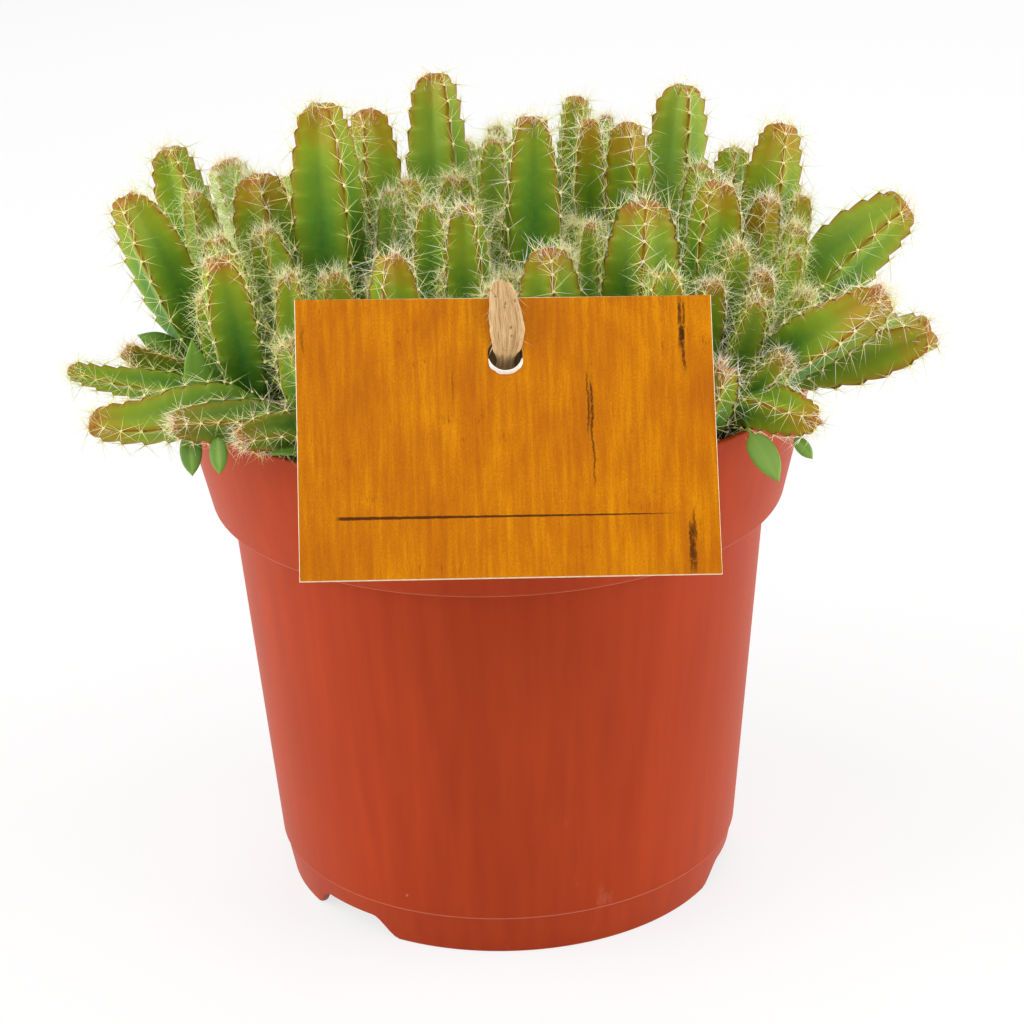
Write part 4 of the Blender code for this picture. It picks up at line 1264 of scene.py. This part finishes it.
def print_material(settings):
    """The card's printed face: orange-brown wood with upright grain, reddish flecks, dark cracks that waver
    and break off, and a rough ruled line near the foot that grows thinner to the right."""
    made, tree, shader = new_material("wood_print", 0.42)
    uv = node(tree, "UVMap", uv_map="card").outputs["UV"]
    parts = node(tree, "SeparateXYZ", {"Vector": uv}).outputs
    across, up = parts["X"], parts["Y"]

    def grain(stretch_u, stretch_v, detail, roughness=0.55, distortion=0.0):
        where = node(tree, "Mapping", {"Vector": uv, "Scale": (stretch_u, stretch_v, 1)}).outputs["Vector"]
        return noise(tree, where, 1.0, detail, roughness, distortion)

    streaks = grain(64, 3.2, 4.0, 0.6)
    bands = grain(7, 2.6, 3.0, distortion=0.4)
    mottle = grain(230, 110, 4.0, 0.75)
    tone = plus(tree, times(tree, streaks, 0.36), times(tree, bands, 0.34))
    tone = plus(tree, tone, times(tree, mottle, 0.3))
    skin = ramp(tree, tone, ((0.38, settings.wood_dark), (0.5, settings.wood_mid),
                             (0.62, settings.wood_light)))
    fibres = window(tree, grain(210, 13, 4.0), 0.55, 0.68)
    skin = paint(tree, skin, fibres, 0.42, settings.wood_dark)
    flecks = times(tree, window(tree, grain(95, 15, 5.0, 0.6), 0.58, 0.72),
                   window(tree, grain(5, 3, 2.0), 0.46, 0.6))
    skin = paint(tree, skin, flecks, 0.75, settings.wood_fleck)
    ragged = times(tree, minus(tree, grain(60, 60, 6.0, 0.7), 0.5), 0.014)
    waver = times(tree, minus(tree, grain(4, 9, 3.0), 0.5), 0.022)
    wander = plus(tree, across, plus(tree, waver, ragged))
    for centre, half, low, high, strength in settings.cracks():
        line = band(tree, wander, centre, half, half * 0.9)
        stretch = times(tree, window(tree, up, low - 0.02, low + 0.05),
                        window(tree, up, high + 0.02, high - 0.05))
        broken = window(tree, grain(90, 34, 5.0, 0.7), 0.3, 0.52)
        share = times(tree, times(tree, line, stretch), broken)
        skin = paint(tree, skin, share, strength, settings.ink)
    edge = plus(tree, up, times(tree, ragged, 0.5))
    thin = minus(tree, 1.0, times(tree, across, 0.75))
    away = maths(tree, "DIVIDE", minus(tree, edge, settings.rule_height), thin)
    rule = times(tree, band(tree, away, 0.0, 0.0048, 0.003),
                 window(tree, grain(160, 60, 4.0, 0.7), 0.25, 0.42))
    ends = times(tree, window(tree, across, 0.085, 0.10), window(tree, across, 0.92, 0.80))
    skin = paint(tree, skin, times(tree, rule, ends), 0.9, settings.ink)
    tree.links.new(skin, shader.inputs["Base Color"])
    shader.inputs["Specular IOR Level"].default_value = 0.08
    bump(tree, shader, grain(900, 620, 2.0), 0.02, 0.4)
    return made


def paper_material(name, colour, shade):
    """Cut card or torn paper: off white with fibres."""
    made, tree, shader = new_material(name, 0.85)
    fibre = noise(tree, place_of(tree), 1500.0, 4.0, 0.6)
    skin = ramp(tree, fibre, ((0.3, shade), (0.6, colour)))
    tree.links.new(skin, shader.inputs["Base Color"])
    bump(tree, shader, fibre, 0.06, 0.6)
    return made


def raffia_material(settings):
    """Raffia: pale straw cords with brown lines between them, paler edges and a few dark specks, and painted
    shade that dims it behind the card and in the hole."""
    made, tree, shader = new_material("raffia_fibre", 0.7)
    cord, run, shade = (value_of(tree, name) for name in ("cord", "run", "shade"))
    where = node(tree, "CombineXYZ", {"X": times(tree, cord, 7.0),
                                      "Y": times(tree, run, 0.12)}).outputs["Vector"]
    lines = noise(tree, where, 1.6, 5.0, 0.6)
    skin = ramp(tree, lines, ((0.32, settings.raffia_brown), (0.5, settings.raffia_straw),
                              (0.72, settings.raffia_pale)))
    edge = window(tree, maths(tree, "ABSOLUTE", cord), 0.72, 1.0)
    skin = paint(tree, skin, edge, 0.5, settings.raffia_pale)
    specks = window(tree, noise(tree, place_of(tree), 700.0, 2.0), 0.66, 0.74)
    skin = paint(tree, skin, specks, 0.7, settings.raffia_speck_and_shade)
    # Painted shade behind the card and in the hole, in the specks' colour.
    skin = paint(tree, skin, shade, 0.75, settings.raffia_speck_and_shade)
    tree.links.new(skin, shader.inputs["Base Color"])
    shader.inputs["Specular IOR Level"].default_value = 0.3
    bump(tree, shader, lines, 0.25, 0.8)
    return made


def seen_directly(tree):
    """1 for what the camera sees, itself or in reflections, and 0 for the light that falls on things."""
    path = node(tree, "LightPath").outputs
    mirrored = maths(tree, "MAXIMUM", path["Is Glossy Ray"], path["Is Transmission Ray"])
    return maths(tree, "MAXIMUM", path["Is Camera Ray"], mirrored)


def floor_material(settings):
    """A pale floor: matt, and shown to the camera and in reflections part way to white, so that it keeps a
    soft shadow."""
    made, tree, _ = new_material("pale_floor")
    tree.nodes.clear()
    matt = node(tree, "BsdfDiffuse", {"Color": settings.floor_colour})
    glow = node(tree, "Emission", {"Color": WHITE, "Strength": 1.0})
    share = times(tree, seen_directly(tree), settings.floor_whiteness)
    blend = node(tree, "MixShader", {0: share, 1: matt.outputs[0], 2: glow.outputs[0]})
    output = node(tree, "OutputMaterial", {"Surface": blend.outputs[0]})
    output.is_active_output = True
    return made


# --- Settings --------------------------------------------------------------------------------------------


class PlantSettings(bpy.types.PropertyGroup):
    """Colours and sizes of the stems, seedlings, bristles and seed leaves."""
    bristle_radius: length_property("Bristle radius", "Radius of a bristle at its foot", 0.078)
    # Strength of the bristles' glow: painted light that lifts them out of their own shade.
    bristle_painted_glow: bpy.props.FloatProperty(name="Painted glow of bristles", default=0.16, min=0.0, max=1.0,
                                          description="How brightly a bristle glows in its own colour, painted light that lifts it out of shade")
    scatter_seed: bpy.props.IntProperty(name="Scatter seed", default=5,
                                        description="Which arrangement of filler seedlings is drawn")
    scatter_tries: bpy.props.IntProperty(name="Scatter tries", default=900, min=0,
                                         description="How many places are tried for filler seedlings")
    root_green: colour_property("Root green", "Deep green near the soil", tint(20, 48, 22))
    low_green: colour_property("Low green", "Green of the lower half", tint(68, 124, 44))
    mid_green: colour_property("Mid green", "Green above the middle", tint(102, 150, 42))
    top_green: colour_property("Top green", "Olive green below the tip", tint(140, 162, 32))
    tip_brown: colour_property("Tip brown", "Orange brown of the tip", tint(174, 138, 22))
    crease_shade_green: colour_property("Crease green", "Blue green between two ribs", tint(58, 118, 50))
    # Darker blue green of the creases: partly the skin's own colour, partly painted shade.
    ridge_green: colour_property("Ridge green", "Yellow green near the ridges", tint(156, 172, 40))
    downy_green: colour_property("Downy green", "Pale green of the youngest stems", tint(178, 200, 88))
    ridge_brown: colour_property("Ridge brown", "Orange brown along the ridges", tint(166, 108, 14))
    scar_brown: colour_property("Scar brown", "Dark line below an areole", tint(88, 50, 18))
    crown_brown: colour_property("Crown brown", "Skin round the growing tip", tint(160, 92, 28))
    crown_wool: colour_property("Crown wool", "Folds of the growing tip", tint(180, 116, 62))
    straw: colour_property("Straw bristles", "Yellowish bristles", tint(246, 236, 160))
    cream: colour_property("Cream bristles", "Cream bristles", tint(250, 242, 208))
    lime: colour_property("Lime bristles", "Pale green bristles", tint(222, 238, 140))
    white: colour_property("White bristles", "White bristles", tint(252, 248, 236))
    rose: colour_property("Rose bristles", "Pinkish bristles", tint(246, 212, 190))
    wool: colour_property("Wool", "Felt of the areoles", tint(244, 226, 168))
    leaf_green: colour_property("Leaf green", "Seed leaf", tint(84, 126, 40))
    leaf_vein: colour_property("Leaf vein", "Middle and tip of a seed leaf", tint(134, 172, 72))
    leaf_edge: colour_property("Leaf edge", "Edge of a seed leaf", tint(58, 102, 32))


class PotSettings(bpy.types.PropertyGroup):
    """Finish of the pot and the soil."""
    pot_segments: bpy.props.IntProperty(name="Pot segments", description="Faces round the pot", default=288,
                                        min=96)
    crumbs: bpy.props.IntProperty(name="Crumbs", description="Loose crumbs on the soil", default=700, min=1)
    pot_light: colour_property("Pot light", "Lighter streaks of the plastic", tint(177, 63, 21))
    pot_dark: colour_property("Pot dark", "Darker streaks of the plastic", tint(162, 53, 16))
    # Dust and scuffs, also the colour of the painted highlight lines at the two moulded edges.
    pot_dust_and_highlight: colour_property("Pot dust", "Dust and scuffs", tint(236, 176, 150))
    soil_dark: colour_property("Soil dark", "Wet peat", tint(28, 20, 14))
    soil_brown: colour_property("Soil brown", "Peat", tint(58, 42, 28))
    soil_fibre: colour_property("Soil fibre", "Fibres in the peat", tint(112, 84, 54))
    perlite: colour_property("Perlite", "Pale grit in the soil", tint(226, 220, 204))


class CardSettings(bpy.types.PropertyGroup):
    """Print of the card, and the raffia."""
    wood_light: colour_property("Wood light", "Light grain", tint(226, 146, 0))
    wood_mid: colour_property("Wood", "Main colour of the print", tint(200, 116, 0))
    wood_dark: colour_property("Wood dark", "Dark grain", tint(180, 94, 8))
    wood_fleck: colour_property("Wood fleck", "Reddish flecks", tint(146, 62, 10))
    ink: colour_property("Ink", "Dark brown ink", tint(58, 20, 6))
    card_edge: colour_property("Card edge", "Cut edge and back", tint(244, 232, 200))
    card_edge_dark: colour_property("Card edge shade", "Shaded fibres of the cut edge", tint(222, 202, 160))
    torn_white: colour_property("Torn paper", "Torn lip of the hole", tint(250, 246, 240))
    rule_height: share_property("Rule height", "Height of the ruled line, as a share of the card", 0.218)
    raffia_pale: colour_property("Raffia pale", "Light cords", tint(232, 204, 156))
    raffia_straw: colour_property("Raffia", "Main colour of the raffia", tint(212, 172, 118))
    raffia_brown: colour_property("Raffia brown", "Lines between the cords", tint(158, 112, 66))
    # Dark specks, also the colour of the painted shade behind the card and in the hole.
    raffia_speck_and_shade: colour_property("Raffia specks", "Dark specks", tint(84, 54, 32))

    @staticmethod
    def cracks():
        """Each crack: place across the card, half its width, lowest and highest point, and strength."""
        return ((0.922, 0.0030, 0.88, 1.0, 0.85), (0.932, 0.0018, 0.86, 1.0, 0.7),
                (0.927, 0.0052, 0.80, 0.92, 0.95), (0.929, 0.0026, 0.72, 0.86, 0.8),
                (0.694, 0.0014, 0.50, 0.74, 0.7), (0.703, 0.0016, 0.32, 0.72, 0.8),
                (0.698, 0.0036, 0.52, 0.68, 0.35), (0.930, 0.0040, 0.0, 0.2, 0.85),
                (0.938, 0.0018, 0.0, 0.24, 0.7), (0.018, 0.0022, 0.80, 0.90, 0.55),
                (0.37, 0.0014, 0.62, 0.76, 0.4), (0.88, 0.0018, 0.78, 0.86, 0.4))


class StageSettings(bpy.types.PropertyGroup):
    """Camera, light and floor."""
    camera_height: length_property("Camera height", "Height of the camera above the floor", 327.8)
    camera_distance: length_property("Camera distance", "How far the camera stands from the pot", 600.0)
    camera_pitch: angle_property("Pitch", "How far the camera looks down", 22.62)
    camera_yaw: angle_property("Yaw", "How far the camera looks to the side", -0.253)
    camera_roll: angle_property("Roll", "How far the camera is tipped sideways", -1.696)
    lens: bpy.props.FloatProperty(name="Lens", description="Focal length in millimetres", default=109.6,
                                  min=1.0, subtype="DISTANCE_CAMERA")
    floor_colour: colour_property("Floor", "Colour of the floor", tint(246, 246, 246))
    floor_whiteness: share_property("Floor whiteness", "How far shadows on the floor fade", 0.75)
    world_level: bpy.props.FloatProperty(name="Room light", default=0.31, min=0.0,
                                         description="Strength of the even light from all round")
    key_power: power_property("Key light", "Power of the soft box above the front", 4.2)
    left_power: power_property("Left light", "Power of the soft box on the left", 8.6)
    right_power: power_property("Right light", "Power of the soft box on the right", 8.6)
    back_power: power_property("Back light", "Power of the soft box above and behind", 3.0)


# --- Operators -------------------------------------------------------------------------------------------


class CACTUS_OT_pot(bpy.types.Operator):
    """Build the nursery pot"""
    bl_idname = "cactus.pot"
    bl_label = "Pot"

    def execute(self, context):
        settings = context.scene.cactus_pot
        build_pot(settings, pot_material(settings))
        return {"FINISHED"}


class CACTUS_OT_soil(bpy.types.Operator):
    """Fill the pot with soil and crumbs"""
    bl_idname = "cactus.soil"
    bl_label = "Soil"

    def execute(self, context):
        settings = context.scene.cactus_pot
        build_soil(settings, soil_material(settings), grit_material(settings))
        return {"FINISHED"}


class CACTUS_OT_stems(bpy.types.Operator):
    """Grow the large stems, each with its areoles and bristles"""
    bl_idname = "cactus.stems"
    bl_label = "Stems"

    def execute(self, context):
        settings = context.scene.cactus_plants
        skin, bristles = flesh_material(settings), bristle_materials(settings)
        for number, plan in enumerate(STEMS, 1):
            name = f"stem_{number:02d}"
            flesh, spines = Shape(), Shape()
            add_flesh(flesh, plan, number)
            add_spines(spines, plan, number, settings.bristle_radius / MM)
            if number == DOWN_STEM:
                add_down(spines, plan, np.random.default_rng(DOWN_SEED), settings.bristle_radius / MM)
            settle(flesh.build(name + "_skin", [skin]), "stem", name)
            settle(spines.build(name + "_spines", bristles), "stem")
        return {"FINISHED"}


class CACTUS_OT_seedlings(bpy.types.Operator):
    """Grow the small seedlings between the stems"""
    bl_idname = "cactus.seedlings"
    bl_label = "Seedlings"

    def execute(self, context):
        settings = context.scene.cactus_plants
        skin = bpy.data.materials.get("cactus_skin") or flesh_material(settings)
        bristles = [bpy.data.materials.get("bristle_" + kind) for kind in BRISTLE_KINDS]
        bristles = bristles if all(bristles) else bristle_materials(settings)
        groups = dict(SEEDLINGS)
        fillers = filler_plan(settings)
        for name, (front, back) in FILLER_BANDS.items():
            groups["filler_" + name] = [plan for plan in fillers if front <= plan.root[1] < back]
        seed = SEEDLING_SEED
        for name, plans in groups.items():
            flesh, spines = Shape(), Shape()
            for plan in plans:
                seed += 1
                add_flesh(flesh, plan, seed, fine=False)
                add_spines(spines, plan, seed, settings.bristle_radius / MM * 0.9)
            settle(flesh.build(f"seedlings_{name}_skin", [skin]), "stem")
            settle(spines.build(f"seedlings_{name}_spines", bristles), "stem")
        return {"FINISHED"}


class CACTUS_OT_leaves(bpy.types.Operator):
    """Grow the seed leaves"""
    bl_idname = "cactus.leaves"
    bl_label = "Seed leaves"

    def execute(self, context):
        surface = leaf_material(context.scene.cactus_plants)
        for number, plan in enumerate(LEAVES, 1):
            shape = Shape()
            add_leaf(shape, plan, LEAF_SEED + number)
            settle(shape.build(f"leaf_{number}", [surface]), "leaf", f"seed_leaf_{number}")
        shape = Shape()
        for number, plan in enumerate(SMALL_LEAVES):
            add_leaf(shape, plan, SMALL_LEAF_SEED + number)
        settle(shape.build("small_leaves", [surface]), "leaf")
        return {"FINISHED"}


class CACTUS_OT_card(bpy.types.Operator):
    """Print the card and lean it on the rim"""
    bl_idname = "cactus.card"
    bl_label = "Card"

    def execute(self, context):
        settings = context.scene.cactus_card
        build_card(print_material(settings),
                   paper_material("cut_card", settings.card_edge, settings.card_edge_dark))
        build_torn_edge(paper_material("torn_paper", settings.torn_white, settings.card_edge))
        return {"FINISHED"}


class CACTUS_OT_raffia(bpy.types.Operator):
    """Tie the card with raffia"""
    bl_idname = "cactus.raffia"
    bl_label = "Raffia"

    def execute(self, context):
        build_raffia(raffia_material(context.scene.cactus_card))
        return {"FINISHED"}


class CACTUS_OT_stage(bpy.types.Operator):
    """Set up the floor, the soft lights and the camera"""
    bl_idname = "cactus.stage"
    bl_label = "Stage"

    def execute(self, context):
        settings = context.scene.cactus_stage
        build_floor(settings)
        build_lights(settings)
        build_camera(settings)
        return {"FINISHED"}


def build_floor(settings):
    reach = 6000.0
    corners = [(-reach, -reach, 0), (reach, -reach, 0), (reach, reach, 0), (-reach, reach, 0)]
    shape = Shape()
    shape.add(corners, [[0, 1, 2, 3]])
    floor = shape.build("studio_floor", [floor_material(settings)])


def soft_box(name, place, size, power):
    """A square area light at a place, turned towards the middle of the pot."""
    lamp = bpy.data.lights.new(name, "AREA")
    lamp.size = size
    lamp.energy = power
    light = bpy.data.objects.new(name, lamp)
    bpy.context.scene.collection.objects.link(light)
    way = np.array(LIGHT_TARGET) - np.array(place)
    pan = math.atan2(way[1], way[0]) - math.pi / 2
    tilt = math.atan2(way[2], math.hypot(way[0], way[1])) + math.pi / 2
    light.rotation_euler = (tilt, 0, pan)
    light.location = place


def build_lights(settings):
    """Even light from all round, a soft box above the front, one to each side, and one behind. What the
    camera and reflections see of the room is white."""
    soft_box("key_light", (-0.12, -0.46, 1.06), 0.8, settings.key_power)
    soft_box("left_light", (-0.92, -0.14, 0.34), 0.9, settings.left_power)
    soft_box("right_light", (0.92, -0.14, 0.34), 0.9, settings.right_power)
    soft_box("back_light", (0.1, 0.8, 0.7), 0.7, settings.back_power)
    world = bpy.data.worlds.new("white_room")
    bpy.context.scene.world = world
    world.use_nodes = True
    tree = world.node_tree
    tree.nodes.clear()
    even = node(tree, "Background", {"Color": WHITE, "Strength": settings.world_level})
    white = node(tree, "Background", {"Color": WHITE, "Strength": 1.0})
    blend = node(tree, "MixShader", {0: seen_directly(tree), 1: even.outputs[0], 2: white.outputs[0]})
    node(tree, "OutputWorld", {"Surface": blend.outputs[0]})


def build_camera(settings):
    lens = bpy.data.cameras.new("camera")
    lens.lens = settings.lens
    camera = bpy.data.objects.new("camera", lens)
    bpy.context.scene.collection.objects.link(camera)
    camera.matrix_world = (Matrix.Translation((0, -settings.camera_distance, settings.camera_height))
                           @ Matrix.Rotation(settings.camera_yaw, 4, "Z")
                           @ Matrix.Rotation(math.pi / 2 - settings.camera_pitch, 4, "X")
                           @ Matrix.Rotation(settings.camera_roll, 4, "Z"))
    bpy.context.scene.camera = camera
    bpy.context.scene.view_settings.view_transform = "Standard"


OPERATORS = (CACTUS_OT_pot, CACTUS_OT_soil, CACTUS_OT_card, CACTUS_OT_raffia, CACTUS_OT_stems,
             CACTUS_OT_seedlings, CACTUS_OT_leaves, CACTUS_OT_stage)
GROUPS = {"cactus_plants": PlantSettings, "cactus_pot": PotSettings, "cactus_card": CardSettings,
          "cactus_stage": StageSettings}


class CACTUS_PT_panel(bpy.types.Panel):
    """Lists the pieces of the potted cactus and their settings"""
    bl_label = "Potted cactus"
    bl_idname = "CACTUS_PT_panel"
    bl_space_type = "VIEW_3D"
    bl_region_type = "UI"
    bl_category = "Cactus"

    def draw(self, context):
        for operator in OPERATORS:
            self.layout.operator(operator.bl_idname)
        for group, kind in GROUPS.items():
            box = self.layout.box()
            box.label(text=kind.__doc__)
            for name in kind.__annotations__:
                box.prop(getattr(context.scene, group), name)


CLASSES = (*GROUPS.values(), *OPERATORS, CACTUS_PT_panel)


def register():
    for kind in CLASSES:
        bpy.utils.register_class(kind)
    for group, kind in GROUPS.items():
        setattr(bpy.types.Scene, group, bpy.props.PointerProperty(type=kind))


def unregister():
    for group in GROUPS:
        delattr(bpy.types.Scene, group)
    for kind in reversed(CLASSES):
        bpy.utils.unregister_class(kind)


def main():
    register()
    for operator in OPERATORS:
        group, name = operator.bl_idname.split(".")
        getattr(getattr(bpy.ops, group), name)()


if __name__ == "__main__":
    main()
